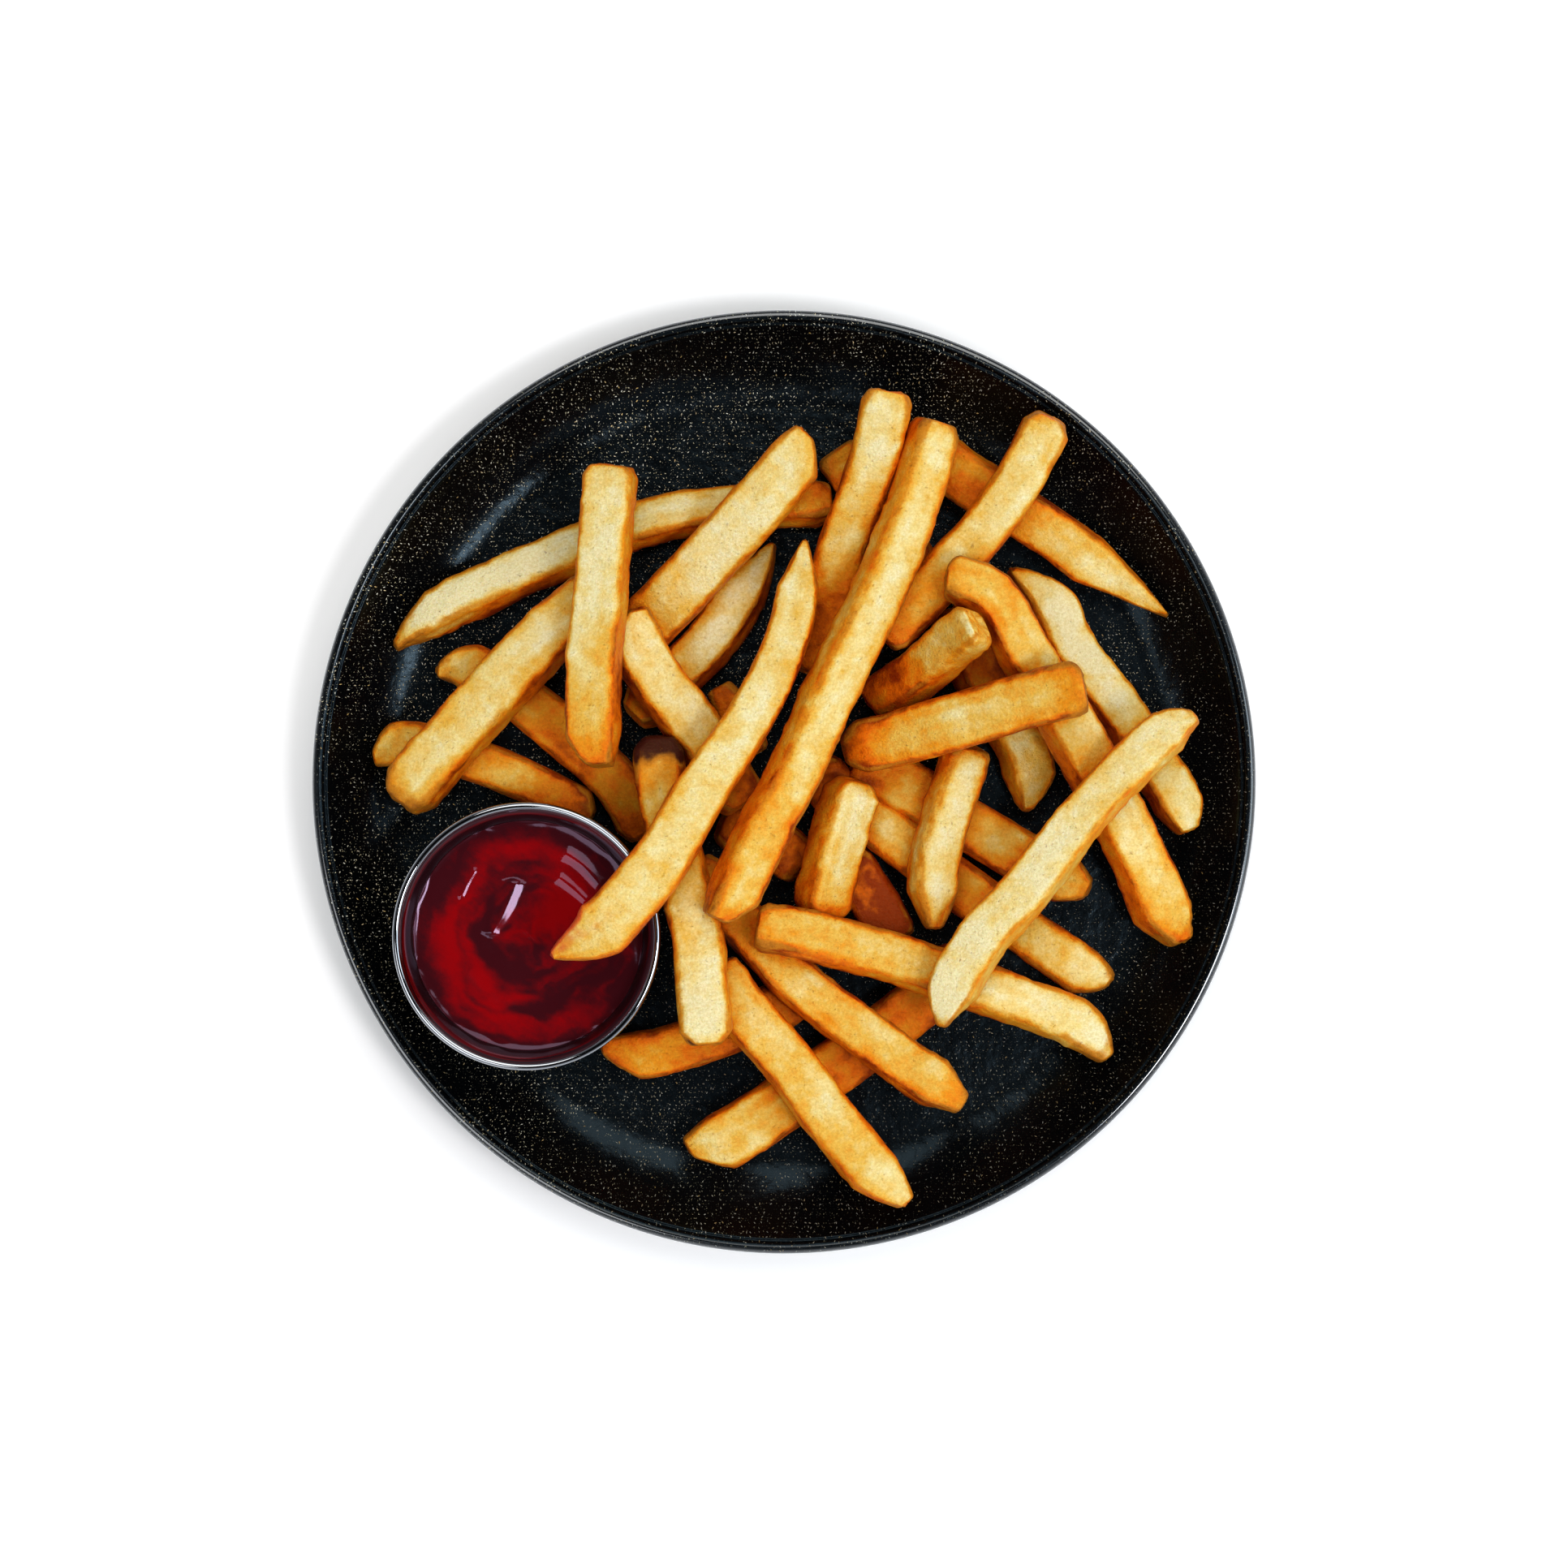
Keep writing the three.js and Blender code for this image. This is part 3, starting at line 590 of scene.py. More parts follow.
middleFries = [
    # the next two lie low under other fries: their deep tones are painted shade
    dict(line=[(-43, -64.5), (-31.5, -64), (-26, -62.5), (-13, -58), (-1, -52.5), (7.5, -46.5)],
         width=(11.5, 11.5), ends=((9, 0.3, 0.6), blunt),
         tone=(0.75, 0.95, 1.0), crust=(0.7, 0.3), edge=0.7),
    dict(line=[(-15.5, 22.5), (-6, 6.5)],
         width=(7.5, 7.5), ends=(blunt, blunt),
         tone=(0.95, 0.95, 0.95), crust=(0.6, 0.6), edge=0.6),
    dict(line=[(6.5, 3.5), (14, -4), (26, -13), (44.5, -26.5), (65.5, -41.5), (76, -49)],
         width=(12, 11.5), ends=(blunt, (7, 0.35, 0.5)),
         tone=(0.45, 0.3, 0.2), crust=(0.3, 0.9), edge=0.8),
    dict(line=[(62.5, 85.5), (53.5, 68.5), (43.5, 55), (29.5, 40.5), (22.5, 33.5)],
         width=(11.5, 11.5), ends=((4, 0.6, 0), blunt),
         tone=(0.2, 0.35, 0.5), crust=(1.0, 0.3), edge=0.8),
    dict(line=[(-89.5, -5.5), (-73, 14.5), (-56, 33), (-43, 44)],
         width=(14.2, 14), roll=-12, ends=((5, 0.6, 0), blunt),
         tone=(0.2, 0.26, 0.25), crust=(1.4, 0.3), edge=0.8),
    dict(line=[(7, 79.5), (-5, 65.5), (-16, 53.5), (-26, 42.8), (-33.3, 35.4), (-39, 25)],
         width=(13, 14), ends=((7, 0.4, -0.6), blunt),
         tone=(0.15, 0.1, 0.45), crust=(0.9, 0.2), edge=0.8),
    dict(line=[(-4, 57), (-6.5, 50.5), (-14.5, 36.5), (-24, 26), (-36, 15)],
         width=(12, 12), roll=12, ends=((14, 0.12, 0.3), (5, 0.6, 0)),
         tone=(-0.2, -0.2, 0.3), crust=(1.1, 0.5), edge=1.3),
    dict(line=[(24, 90.5), (22, 79.5), (17, 64), (12.5, 51), (8.5, 32.5), (7, 25)],
         width=(11.5, 11), ends=((3, 0.75, 0), (3, 0.7, 0)),
         tone=(0.18, 0.2, 0.95), crust=(0.6, 0.3), edge=0.8),
    dict(line=[(37, 46), (42.5, 45.5), (49.5, 41), (55.5, 30), (68.5, 8.5), (81.8, -16), (92, -38.7)],
         width=(12, 14), roll=-18, ends=((3, 0.6, 0), (9, 0.38, 0.3)),
         tone=(0.48, 0.16, 0.62), crust=(0.9, 1.3), edge=0.9),
    dict(line=[(-16, -42.5), (-12, -50), (2.2, -66.8), (13, -81), (27.6, -99)],
         width=(12.5, 12.5), roll=-8, ends=(blunt, (11, 0.35, 0.4)),
         tone=(0.35, 0.28, 0.2), crust=(0.3, 0.9), edge=0.6),
    dict(line=[(-21.5, -19.5), (-4.8, -38.2), (5.6, -48.8), (19.6, -59.4), (27.2, -65), (42, -74.5)],
         width=(11.5, 12.2), roll=-10, ends=(blunt, (9, 0.4, -0.2)),
         tone=(0.1, 0.4, 0.35), crust=(0.4, 1.5), edge=1.1),
]

topFries = [
    dict(line=[(43, 9), (41, 1.5), (38, -7), (35, -19.5), (35, -34.5)],
         width=(11.5, 12), roll=-20, ends=((2, 0.8, 0), (9, 0.3, 0)),
         tone=(0.3, -0.05, -0.1), crust=(0.8, 1.2), edge=1.1),
    dict(line=[(17, 1), (13, -11.5), (9.5, -25), (8.5, -31)],
         width=(13.5, 13.5), roll=-30, ends=((4, 0.55, 0), blunt),
         tone=(0.2, 0.2, 0.5), crust=(0.5, 0.2), edge=0.7),
    dict(line=[(46.6, 37.3), (39.5, 32.5), (32.5, 26), (20.5, 17.5)],
         width=(12, 12.5), roll=25, ends=((2, 0.8, 0), blunt),
         tone=(-0.15, 0.1, 0.55), crust=(0.3, 0.3), edge=0.8, lean=(5, 0)),
    dict(line=[(-36, 40.3), (-34.3, 31.5), (-28.8, 22.6), (-18.3, 9), (-9, -6)],
         width=(13.5, 12.5), roll=-12, ends=((7, 0.4, 0.5), (3, 0.7, 0)),
         tone=(0.1, 0.1, 0.5), crust=(0.6, 0.4), edge=0.9),
    dict(line=[(-39.7, 73.3), (-41, 59), (-42.6, 40.5), (-43.8, 25), (-43.9, 3)],
         width=(12.5, 13), roll=12, ends=(blunt, (8, 0.5, 0.5)),
         tone=(0.08, 0.16, 0.75), crust=(0.5, 1.0), edge=0.8),
    # this fry's top end is darkened: dark crust and painted shade, deep in the heap
    dict(line=[(-29, 11), (-28.5, -2), (-24, -20), (-20.5, -33), (-19, -43.5), (-18, -61)],
         width=(11.5, 12.5), ends=((4, 0.6, 0), (4, 0.6, 0)),
         tone=(0.5, 0.0, 0.0), crust=(1.0, 0.8), edge=0.8, darkEnd=(6, 0)),
    dict(line=[(-6.5, -33.5), (5.5, -35.5), (22.5, -40), (36.5, -44.5), (61.5, -53.5), (69.3, -57.8),
               (74.8, -66)],
         width=(12, 12), roll=-12, ends=((2, 0.8, 0), (10, 0.3, 0.3)),
         tone=(0.4, 0.3, -0.2), crust=(1.0, 1.7), edge=1.1),
    dict(line=[(13.5, 7), (25.5, 10), (43, 15), (60.5, 20), (69, 21.5)],
         width=(13, 13), ends=((5, 0.5, 0), (3, 0.75, -0.3)),
         tone=(1.0, 0.42, 0.42), crust=(1.1, 1.3), edge=0.9),
    dict(line=[(35.5, 83.5), (32.5, 73), (28.3, 60.5), (21.7, 43.5), (13.8, 27.5), (2, 1.5), (-4, -9.5),
               (-14.6, -32)],
         width=(12.5, 13), roll=-22, ends=((3, 0.75, 0), (7, 0.5, -0.5)),
         tone=(0.35, 0.22, 0.5), crust=(0.9, 1.1), edge=1.0),
    dict(line=[(94.5, 16), (87, 10.8), (70.5, -6), (55.5, -25), (45.8, -35.5), (39.3, -46.5), (35.8, -56.8)],
         width=(11, 12.5), roll=14, ends=((8, 0.3, 0.2), (10, 0.2, 0)),
         tone=(0.2, 0.1, -0.05), crust=(0.8, 1.1), edge=0.9),
]

dippedFry = dict(
    line=[(5, 56.5), (3.5, 46.5), (1, 34), (-5.5, 18.8), (-13.4, 6.7), (-20.2, -3.7), (-26.5, -15.5),
          (-35.5, -27), (-43, -34.5), (-53, -39.5)],
    width=(9, 14.5), ends=((12, 0.1, 0), (13, 0.12, 0)),
    tone=(0.35, 0.14, 0.42), crust=(0.7, 0.7), edge=0.9,
    droop=6, droopStart=84,  # how far the tip over the cup hangs below the straight line
    smearBounceFrom=98, smearBounceSide=(-0.6, 0.7, 0),  # where the tip is reddened: a ketchup smear and painted red light bounced from the ketchup
)


def meanWidth(fry):
    return sum(fry["width"]) / 2


def thickness(fry):
    return fryCut["thicknessBase"] + meanWidth(fry) / 2


def rolled(fry, corners):  # turned by the roll, then scaled back to the fry's width
    roll = math.radians(fry.get("roll", 0))
    turn = np.array([[math.cos(roll), math.sin(roll)], [-math.sin(roll), math.cos(roll)]])
    corners = corners @ turn
    return corners * (meanWidth(fry) / 2 / corners[:, 0].max())


def section(fry):  # the square with cut corners that the fry rests by
    half, halfThick = meanWidth(fry) / 2, thickness(fry) / 2
    cut = fryCut["chamfer"] * 2 * min(half, halfThick)
    quarter = np.array([(half, halfThick - cut), (half - cut, halfThick)])
    ring = np.vstack([quarter, quarter[::-1] * (-1, 1), quarter * (-1, -1), quarter[::-1] * (1, -1)])
    return rolled(fry, ring)


def span(corners, across):  # lowest and highest point at a distance to the left of the middle
    heights = []
    for (x0, z0), (x1, z1) in zip(corners, np.roll(corners, -1, axis=0)):
        if (x0 - across) * (x1 - across) <= 0 and x0 != x1:
            heights.append(z0 + (z1 - z0) * (across - x0) / (x1 - x0))
    return min(heights), max(heights)


def sizeAt(fry, distance, length):  # width, height scale and sideways shift
    share = np.ones_like(distance)
    side = np.zeros_like(distance)
    for (taper, tip, tipSide), inward in zip(fry["ends"], (distance, length - distance)):
        left = np.clip(1 - inward / taper, 0, None)
        here = 1 - (1 - tip) * left ** fryCut["taperPower"]
        share = np.minimum(share, here)
        side = side + tipSide * (1 - here)
    width = fry["width"][0] + (fry["width"][1] - fry["width"][0]) * distance / length
    return width * share, 0.5 + 0.5 * share, side * width / 2


def route(fry, count):  # points, directions to the left and distances along the fry
    path, length = splinePoints(fry["line"], count)
    along = np.gradient(path, axis=0)
    along /= np.linalg.norm(along, axis=1)[:, None]
    return path, np.column_stack([-along[:, 1], along[:, 0]]), np.linspace(0, length, count)


# height maps with a cell for each millimetre

mapSize = 240
mapAxis = np.arange(mapSize) - mapSize / 2
mapX, mapY = np.meshgrid(mapAxis, mapAxis, indexing="ij")
fromMiddle = np.hypot(mapX, mapY)
fromCup = np.hypot(mapX - cup["x"], mapY - cup["y"])
plateTop = np.vectorize(plateHeight)(fromMiddle)
plateTop[fromMiddle > plate["wallRadius"]] = plate["rimHeight"]
plateTop += gap + fryCut["sink"]
overSauce = fromCup < cup["rimRadius"] - 2.5 * cup["beadRadius"]
cupTop = np.where(overSauce, ketchup["level"] + 2, cup["height"])
cupTop = cupTop + plate["floorHeight"] + 3 * gap + fryCut["sink"]
cupTop[fromCup > cup["rimRadius"] + 1] = 0
heapTop = np.zeros((mapSize, mapSize))


def mapCell(place):
    return np.floor(place + mapSize / 2 + 0.5).astype(int)


def restingEdge(supports, middle):  # the straight edge of the upper hull that spans the middle
    hull = []
    for x, z in supports:
        while len(hull) > 1:
            (ax, az), (bx, bz) = hull[-2:]
            if (bx - ax) * (z - az) - (bz - az) * (x - ax) < 0:
                break
            hull.pop()
        hull.append((x, z))
    after = next(i for i, (x, z) in enumerate(hull) if x >= middle)
    return hull[after - 1], hull[after]


def layDown(fry, onCup=False):
    length = splinePoints(fry["line"], 2)[1]
    path, left, distances = route(fry, max(2, round(length) + 1))
    widths, talls, shifts = sizeAt(fry, distances, length)
    corners = section(fry)
    supports = []
    covered = []
    for at, side, distance, width, tall, shift in zip(path, left, distances, widths, talls, shifts):
        steps = max(2, math.ceil(width))
        support = -math.inf
        for across in width * (np.arange(steps + 1) / steps - 0.5):
            low, high = span(corners, across * meanWidth(fry) / width * 0.999)
            cell = tuple(mapCell(at + side * (shift + across)))
            below = plateTop[cell]
            if onCup:
                below = max(below, cupTop[cell], heapTop[cell] + 2 * gap + fryCut["sink"])
            elif abs(across) <= fryCut["contactShare"] * width / 2:
                below = max(below, heapTop[cell])
            support = max(support, below - low * tall)
            covered.append((cell, distance, high * tall))
        supports.append((distance, support))
    (ax, az), (bx, bz) = restingEdge(supports, length / 2)
    slope = (bz - az) / (bx - ax)
    lift = az - slope * ax - fryCut["sink"]
    for cell, distance, high in covered:
        heapTop[cell] = max(heapTop[cell], lift + slope * distance + high)
    return lift, slope, length


def ringPlaces(length, rounding):  # distances along the fry and how far the ring is drawn in
    bend = np.radians(np.linspace(0, 90, 6))
    near = rounding * (1 - np.cos(bend))
    drawn = rounding * (1 - np.sin(bend))
    body = np.linspace(rounding, length - rounding, max(3, round(length / fryCut["meshStep"])))[1:-1]
    places = np.concatenate([near, body, length - near[::-1]])
    inset = np.concatenate([drawn, np.zeros(len(body)), drawn[::-1]])
    return places, inset


def cutRing(fry):  # the section as it is cut, and how close each of its points is to a corner
    half, halfThick = meanWidth(fry) / 2, thickness(fry) / 2
    radius = random.uniform(*fryCut["cornerRadius"])
    corners = []
    for quarter, (right, up) in enumerate(((1, 1), (-1, 1), (-1, -1), (1, -1))):
        bend = np.radians(np.linspace(0, 90, fryCut["cornerSteps"] + 1) + 90 * quarter)
        middle = (right * (half - radius), up * (halfThick - radius))
        corners.append(np.column_stack([np.cos(bend), np.sin(bend)]) * radius + middle)
    ring, near = [], []
    for corner, following in zip(corners, corners[1:] + corners[:1]):
        share = np.array(fryCut["sidePlaces"])[:, None]
        ahead = following[0] - corner[-1]
        outward = np.array([ahead[1], -ahead[0]]) / np.linalg.norm(ahead)
        side = corner[-1] + ahead * share + outward * fryCut["bulge"] * 4 * share * (1 - share)
        fromCorner = np.minimum(share, 1 - share)[:, 0] * np.linalg.norm(ahead)
        turn = np.linspace(-1, 1, len(corner))
        ring += [corner, side]
        near += [1 - 0.3 * turn ** 2, 0.7 * np.exp(-(fromCorner / fryCut["cornerFade"]) ** 2)]
    return rolled(fry, np.vstack(ring)), np.concatenate(near)


def fryShell(fry, lift, slope, length):
    tipHalf = min(width * end[1] for width, end in zip(fry["width"], fry["ends"])) / 2
    rounding = min(fryCut["endRounding"], 0.7 * tipHalf)
    places, inset = ringPlaces(length, rounding)
    path, left, distances = route(fry, 400)
    at, side = between(places, distances, path), between(places, distances, left)
    width, tall, shift = sizeAt(fry, places, length)
    ring, corner = cutRing(fry)
    seed = random.uniform(0, 500, 3)
    wobble = np.column_stack([places + seed[0], np.full(len(places), seed[1]), np.zeros(len(places))])
    swell = 1 + layered(wobble, fryCut["swell"])
    bow = layered(wobble + 90, fryCut["bow"])
    draw = (1 - inset / np.maximum(width / 2, rounding + 0.05)) * swell
    across = ring[None, :, 0] * (draw * width / meanWidth(fry))[:, None]
    up = ring[None, :, 1] * (draw * tall)[:, None]
    # caps: the end rings drawn in to the middle
    cap = np.linspace(1, 0, fryCut["capRings"] + 2)[1:-1]
    last = len(places) - 1
    index = np.concatenate([np.zeros(len(cap), int), np.arange(last + 1), np.full(len(cap), last)])
    scale = np.concatenate([cap[::-1], np.ones(last + 1), cap])[:, None]
    across = across[index] * scale
    up = up[index] * scale
    places, width, tall, shift, bow = (v[index] for v in (places, width, tall, shift, bow))
    at, side = at[index], side[index]
    past = np.clip((places - fry.get("droopStart", length)) / (length - fry.get("droopStart", 0)), 0, None)
    rise = lift + slope * places - fry.get("droop", 0) * past ** 2
    aside = shift[:, None] + bow[:, None] + across
    # ends lean: their tops are drawn in, so that some of the cut face is seen from above
    leans = fry.get("lean", random.uniform(0.2, fryCut["endLean"], 2))
    height = up / up.max() * 0.5 + 0.5
    ahead = np.column_stack([side[:, 1], -side[:, 0]])
    drawIn = np.zeros_like(up)
    for lean, inward, way in zip(leans, (places, length - places), (1, -1)):
        drawIn += way * lean * np.clip(1 - inward / (2 * lean + 1.5), 0, 1)[:, None] * height
    points = np.stack([
        at[:, :1] + side[:, :1] * aside + ahead[:, :1] * drawIn,
        at[:, 1:] + side[:, 1:] * aside + ahead[:, 1:] * drawIn,
        rise[:, None] + up,
    ], axis=-1)
    # skin: lumps push each point away from the middle of its ring, and the end faces along the fry
    outward = points - points.mean(axis=1, keepdims=True)
    outward /= np.linalg.norm(outward, axis=2, keepdims=True) + 1e-9
    onward = np.column_stack([ahead, np.full(len(side), slope)])
    capSide = np.concatenate([np.full(len(cap), -1), np.zeros(last + 1), np.ones(len(cap))])
    body = 1 - np.abs(capSide)
    push = outward * body[:, None, None] + (onward * capSide[:, None])[:, None, :]
    own = points + seed
    fibre = np.stack([
        np.broadcast_to(places[:, None] / 6, across.shape),
        np.broadcast_to(ring[:, 0], across.shape),
        np.broadcast_to(ring[:, 1], across.shape),
    ], axis=-1) + seed
    inward = np.minimum(places, length - places)[:, None]
    rough = 0.8 * (np.exp(-inward / fryCut["crumbReach"]) + corner[None, :])
    relief = layered(own, fryCut["skin"]) + rough * layered(own, fryCut["crumbs"])
    return points + push * relief[..., None], {
        "along": places / length,
        "fibre": fibre,
        "corner": np.broadcast_to(corner, points.shape[:2]) * (0.5 + 0.5 * body[:, None]),
        "length": length,
    }


def facing(points):  # outward normals of a shell's points
    ahead = np.gradient(points, axis=0)
    sideways = np.roll(points, -1, axis=1) - np.roll(points, 1, axis=1)
    normals = np.cross(sideways, ahead)
    normals /= np.linalg.norm(normals, axis=2, keepdims=True) + 1e-9
    body = len(points) // 2
    outward = points[body] - points[body].mean(axis=0)
    return normals * np.sign((normals[body] * outward).sum())


daylight = {
    "turns": 14,  # directions in which the skyline is looked for
    "reaches": (1.5, 3, 5, 8, 12, 18),
}


def openness(points, normals):  # daylight from 0, where a point is shut in, to 1 under the open sky
    x, y, z = points[..., 0], points[..., 1], points[..., 2]
    seen = np.zeros_like(z)
    for turn in np.linspace(0, 2 * math.pi, daylight["turns"], endpoint=False):
        hidden = np.zeros_like(z)
        for reach in daylight["reaches"]:
            cellX, cellY = mapCell(x + reach * math.cos(turn)), mapCell(y + reach * math.sin(turn))
            rise = skyline[cellX % mapSize, cellY % mapSize] - z
            hidden = np.maximum(hidden, rise / np.hypot(rise, reach))
        low = np.arcsin(np.clip(hidden, 0, 1))
        across = normals[..., 0] * math.cos(turn) + normals[..., 1] * math.sin(turn)
        side = across * (math.pi / 4 - low / 2 - np.sin(2 * low) / 4)
        seen += np.maximum(side + normals[..., 2] * (1 - hidden ** 2) / 2, 0)
    return 2 * seen / daylight["turns"]


def fryTone(fry, points, parts, normals):  # from pale 0 to deep 1, before its edges and ends, with painted shade where little daylight falls and on the sides
    share = parts["along"][:, None]
    closed = 1 - openness(points, normals)
    sideShade = smooth(np.clip((potato["sideFrom"] - normals[..., 2]) / potato["sideFade"], 0, 1))
    own = potato["base"] + potato["span"] * np.interp(share, (0, 0.5, 1), fry["tone"])
    tone = own + potato["shade"] * closed ** 2 + potato["sides"] * sideShade
    tone = np.minimum(tone, np.maximum(own, potato["shadeLimit"]))
    return tone + layered(points, potato["clouds"]) + layered(parts["fibre"], potato["fibres"])


def fryFields(fry, points, parts):  # tone, crust and reddening (ketchup smear and painted bounce light) for each point
    normals = facing(points)
    fromStart = parts["along"][:, None] * parts["length"]
    ends, nearEnds, darkEndShare = 0, 0, 0
    for amount, darkEnd, away in zip(fry["crust"], fry.get("darkEnd", (0, 0)),
                                   (fromStart, parts["length"] - fromStart)):
        ends = ends + amount * np.exp(-(away / (2.4 + 1.5 * amount)) ** 1.3)
        nearEnds = nearEnds + amount * np.exp(-(away / potato["edgeReach"]) ** 2)
        # a fry given a dark end is darkened there almost to black-brown: dark crust and painted shade
        if darkEnd:
            darkEndShare = darkEndShare + 2.6 * np.clip(1.5 - away / darkEnd + 0.35 * lumps(points, 2.6), 0, 1) ** 1.5
    patchy = np.clip(0.75 + 0.8 * lumps(points, 2.8), 0, 2)
    crust = np.clip(ends * patchy * (0.45 + 0.55 * parts["corner"]) * 1.35, 0, 1.3) + darkEndShare
    # steep sides are darkened: real crust, and painted shade at the fry's outline
    steep = np.clip((0.4 - normals[..., 2]) / 0.5, 0, 1)
    edge = parts["corner"] ** 9 * (0.95 + 0.9 * lumps(points + 70, 4))
    edge = edge + potato["outline"] * steep * (0.75 + 0.5 * lumps(points + 40, 2.5))
    edge = np.clip(fry["edge"] * edge * (0.85 + nearEnds), 0, 1)
    tone = fryTone(fry, points, parts, normals)
    tone = tone + 0.26 * edge + 0.24 * np.clip(ends, 0, 1) + 0.13 * fry["edge"] * parts["corner"]
    darkest = potato["darkEndLimit"] if "darkEnd" in fry else potato["crustLimit"]
    fields = {"tone": tone, "crust": np.clip(np.clip(crust, 0, 2.2) + 0.8 * edge, 0, darkest)}
    if "smearBounceFrom" in fry:
        # the tip reddens on its side towards the ketchup: a smear and painted red bounce light
        reddenAlong = np.clip((fromStart - fry["smearBounceFrom"]) / 7 + 0.3 * lumps(points + 20, 4), 0, 1)
        side = np.clip(normals @ fry["smearBounceSide"] * 6 - 0.3 + 0.6 * lumps(points, 2.5), 0, 1)
        fields["sauce"] = reddenAlong * side * (0.75 + 0.25 * lumps(points, 1.5))
    return fields


def fryPile(name, finish, shells):
    points, faces = [], []
    fields = {}
    count = 0
    for fry, shell, parts in shells:
        rings, around = shell.shape[:2]
        faces += shellFaces(rings, around, count)
        points += [shell.reshape(-1, 3), shell[0].mean(axis=0)[None], shell[-1].mean(axis=0)[None]]
        for field, values in fryFields(fry, shell, parts).items():
            ends = [values[0].mean(keepdims=True), values[-1].mean(keepdims=True)]
            fields.setdefault(field, []).extend([values.ravel()] + ends)
        count += rings * around + 2
    fields = {field: np.concatenate(values) for field, values in fields.items()}
    pile = makePiece(name, finish, np.vstack(points), faces, fields)
    print(name, "made,", len(shells), "fries,", 2 * len(faces), "triangles")
    return pile


potato = {
    "tones": [  # from the palest skin to the deepest; the deepest end also gives painted shade in the heap's hollows
        (0.00, (0.80, 0.71, 0.40)),
        (0.16, (0.785, 0.62, 0.24)),
        (0.36, (0.745, 0.445, 0.070)),
        (0.56, (0.745, 0.28, 0.010)),
        (0.78, (0.74, 0.14, 0.0015)),
        (1.00, (0.27, 0.026, 0.0010)),
    ],
    "crust": (0.54, 0.19, 0.010),
    # colour of a darkened fry end: dark crust and painted shade
    "darkEnd": (0.045, 0.007, 0.005),
    # red of the dipped tip: ketchup smear and painted red bounce light
    "smear": (0.62, 0.05, 0.02),
    "glossTint": (1.0, 0.82, 0.35),
    "grainTints": ((0.90, 0.85, 0.74), (1.06, 1.08, 1.14)),
    "relief": 0.27,
    "base": 0.02,  # tone of a fry of tone 0
    "span": 0.7,  # and how much is added for tone 1
    "shade": 0.76,  # how much deeper the tone is where little daylight falls
    "sides": 0.27,  # painted shade: how much deeper the tone is on the sides
    "sideFrom": 0.95,  # how level the skin is where a side begins
    "sideFade": 0.35,
    "shadeLimit": 0.72,  # deepest tone that the painted shade of hollows and sides gives
    "clouds": [(13, 0.14), (5, 0.1)],  # uneven tone, as sizes and amounts of lumps
    "fibres": [(1.8, 0.1)],
    "outline": 1.0,  # darker crust on the steep sides, partly painted shade where a side turns down into the shadow below
    "edgeReach": 9,  # edges are crusty this far from the ends
    "crustLimit": 1.3,
    "darkEndLimit": 3,
}


def fryFinish(name, reddened=False):
    finish = Finish(name)
    where = finish.place()
    cloud = finish.noise(where, 5.5, 3, 0.55)
    mottle = finish.noise(where, 2.0, 3, 0.6)
    grain = finish.noise(where, 0.8, 3, 0.7)
    pale = finish.noise(where, 3.4, 2, 0.5).step(0.5, 0.7)
    tone = finish.attribute("tone") + 0.5 * (cloud - 0.5) + 0.32 * (mottle - 0.5) - 0.08 * pale
    colour = finish.add("ValToRGB", {"stops": potato["tones"]}, Fac=tone)
    crust = finish.attribute("crust") + 0.7 * (mottle - 0.5) + 0.5 * (grain - 0.5)
    colour = finish.mix(crust.step(0.3, 1.05) * 0.88, colour, potato["crust"])
    # darkened ends: dark crust and painted shade
    colour = finish.mix(crust.step(0.9, 2.1), colour, potato["darkEnd"])
    speck = finish.noise(where, 0.9, 2, 0.7).step(0.66, 0.74)
    colour = finish.mix(0.25 * speck, colour, potato["crust"])
    fineGrain = finish.noise(where, 0.6, 2, 0.75)
    fine = finish.mix(fineGrain.step(0.3, 0.7), *potato["grainTints"])
    colour = finish.mix(1.0, colour, fine, "MULTIPLY")
    if reddened:
        # the tip's side towards the ketchup: ketchup smear and painted red bounce light
        colour = finish.mix(finish.attribute("sauce") * 0.9, colour, potato["smear"])
    blisters = finish.noise(where, 1.3, 3, 0.6)
    normal = finish.bump(grain + blisters + 0.8 * speck + 0.6 * fineGrain, potato["relief"] * mm)
    return finish.set(
        Base_Color=colour, Roughness=0.30 + 0.25 * mottle, Normal=normal,
        IOR=1.42, Specular_IOR_Level=0.22, Specular_Tint=potato["glossTint"],
        Subsurface_Weight=0.15, Subsurface_Radius=(1.0, 0.45, 0.12), Subsurface_Scale=1.6 * mm,
    )


def fryShells(fries, onCup=False):
    return [(fry, *fryShell(fry, *layDown(fry, onCup))) for fry in fries]


fryLayers = [
    ("fries_bottom", fryShells(bottomFries)),
    ("fries_middle", fryShells(middleFries)),
    ("fries_top", fryShells(topFries)),
]
tipShells = fryShells([dippedFry], onCup=True)
skyline = np.where(fromCup < cup["rimRadius"], plate["floorHeight"] + cup["height"], plateTop)
skyline[fromCup < cup["topRadius"]] = plate["floorHeight"] + ketchup["level"]
for fry, shell, parts in sum((shells for name, shells in fryLayers), tipShells):
    cells = mapCell(shell[..., :2])
    np.maximum.at(skyline, (cells[..., 0], cells[..., 1]), shell[..., 2])
print("fries laid down")
friedPotato = fryFinish("fried_potato")
for name, shells in fryLayers:
    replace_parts(fryPile(name, friedPotato, shells), "fries_heap")
tipFry = fryPile("fry_over_cup", fryFinish("reddened_potato", True), tipShells)
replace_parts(tipFry, "dipped_fry")

# studio

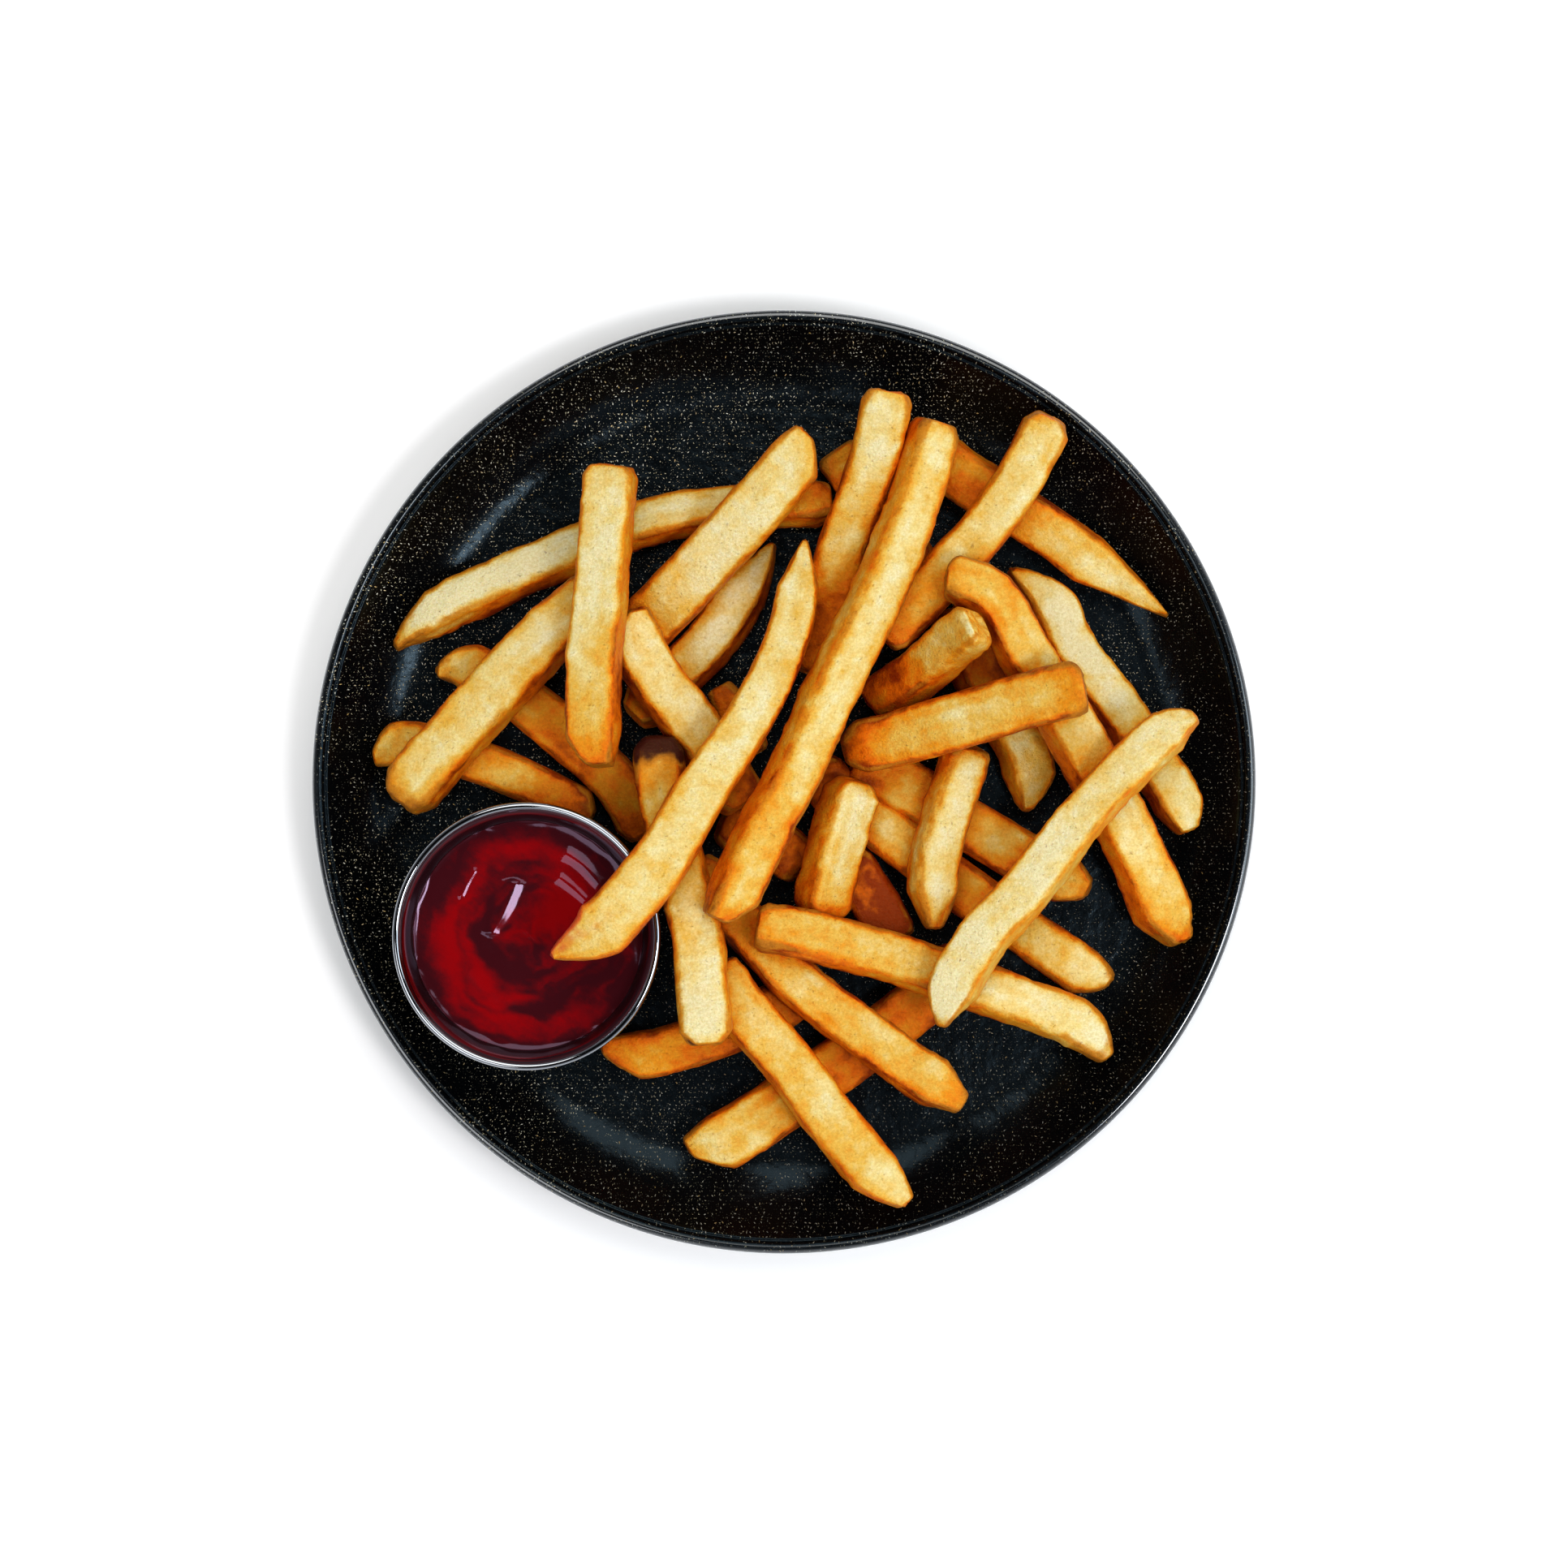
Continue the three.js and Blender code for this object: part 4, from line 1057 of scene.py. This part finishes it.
studio = {
    "floorSize": 6.0,
    "floorColour": (0.95, 0.95, 0.95),
    "floorGlow": 0.15,
    "cameraHeight": 1.118,
    "cameraShiftY": -0.5 * mm,
    "frameWidth": 0.3652,  # what the picture takes in at the height of the rim
    "lights": [  # azimuth from +X, elevation, distance, size, power, colour
        ("key", 80, 58, 3.2, 2.5, 49, (1.0, 0.985, 0.95)),
        ("glint", -29, 66, 1.5, 0.37, 7.4, (1.0, 0.98, 1.0)),
        ("window", -4, 46, 1.5, 0.8, 5, (0.80, 0.92, 1.0)),
        ("fill", 222, 60, 2.4, 1.4, 16.5, (0.97, 0.98, 1.0)),
    ],
    "sky": [(0.0, 0.75), (0.25, 0.80), (0.6, 0.36), (0.85, 0.03), (1.0, 0.003)],  # horizon to zenith
    "skySide": (0.62, -0.78),  # direction of the bright side of the sky
    "skyDark": 0.4,  # brightness of the other side
    "skyMore": 0.9,  # and how much brighter the bright side is
}


def makeFloor():
    bpy.ops.mesh.primitive_plane_add(size=studio["floorSize"])
    floor = bpy.context.object
    floor.name = "studio_floor"
    floor.data.materials.append(Finish("studio_white").set(
        Base_Color=studio["floorColour"], Roughness=0.9,
        Emission_Color=(1, 1, 1), Emission_Strength=studio["floorGlow"],
    ))


def makeLamps():
    for name, azimuth, elevation, distance, size, power, colour in studio["lights"]:
        lamp = bpy.data.lights.new(name, "AREA")
        lamp.shape = "DISK"
        lamp.size = size
        lamp.energy = power
        lamp.color = colour
        holder = bpy.data.objects.new(name, lamp)
        turn, tilt = math.radians(azimuth), math.radians(elevation)
        holder.location = (
            distance * math.cos(tilt) * math.cos(turn),
            distance * math.cos(tilt) * math.sin(turn),
            distance * math.sin(tilt),
        )
        holder.rotation_euler = (0, math.pi / 2 - tilt, turn)
        bpy.context.scene.collection.objects.link(holder)


def makeSky():
    world = bpy.data.worlds.new("studio")
    bpy.context.scene.world = world
    world.use_nodes = True
    sky = Shading(world.node_tree)
    here = sky.add("TexCoord", out="Generated")
    x, y, z = sky.add("SeparateXYZ", out=(0, 1, 2), _0=here)
    stops = [(place, (bright * 0.96, bright, bright * 1.05)) for place, bright in studio["sky"]]
    sideX, sideY = studio["skySide"]
    towards = (x * sideX + y * sideY).step(-0.4, 0.8)
    background = world.node_tree.nodes["Background"]
    plug(background.inputs["Color"], sky.add("ValToRGB", {"stops": stops}, Fac=z))
    plug(background.inputs["Strength"], studio["skyDark"] + studio["skyMore"] * towards)


def makeCamera():
    data = bpy.data.cameras.new("camera")
    camera = bpy.data.objects.new("camera", data)
    camera.location = (0, studio["cameraShiftY"], studio["cameraHeight"])
    aboveRim = studio["cameraHeight"] - plate["rimHeight"] * mm
    data.sensor_width = 36
    data.lens = data.sensor_width * aboveRim / studio["frameWidth"]
    bpy.context.scene.collection.objects.link(camera)
    bpy.context.scene.camera = camera


makeFloor()
makeLamps()
makeSky()
makeCamera()
bpy.context.scene.view_settings.view_transform = "Standard"
bpy.context.scene.view_settings.look = "None"
bpy.context.view_layer.update()
print("studio ready")
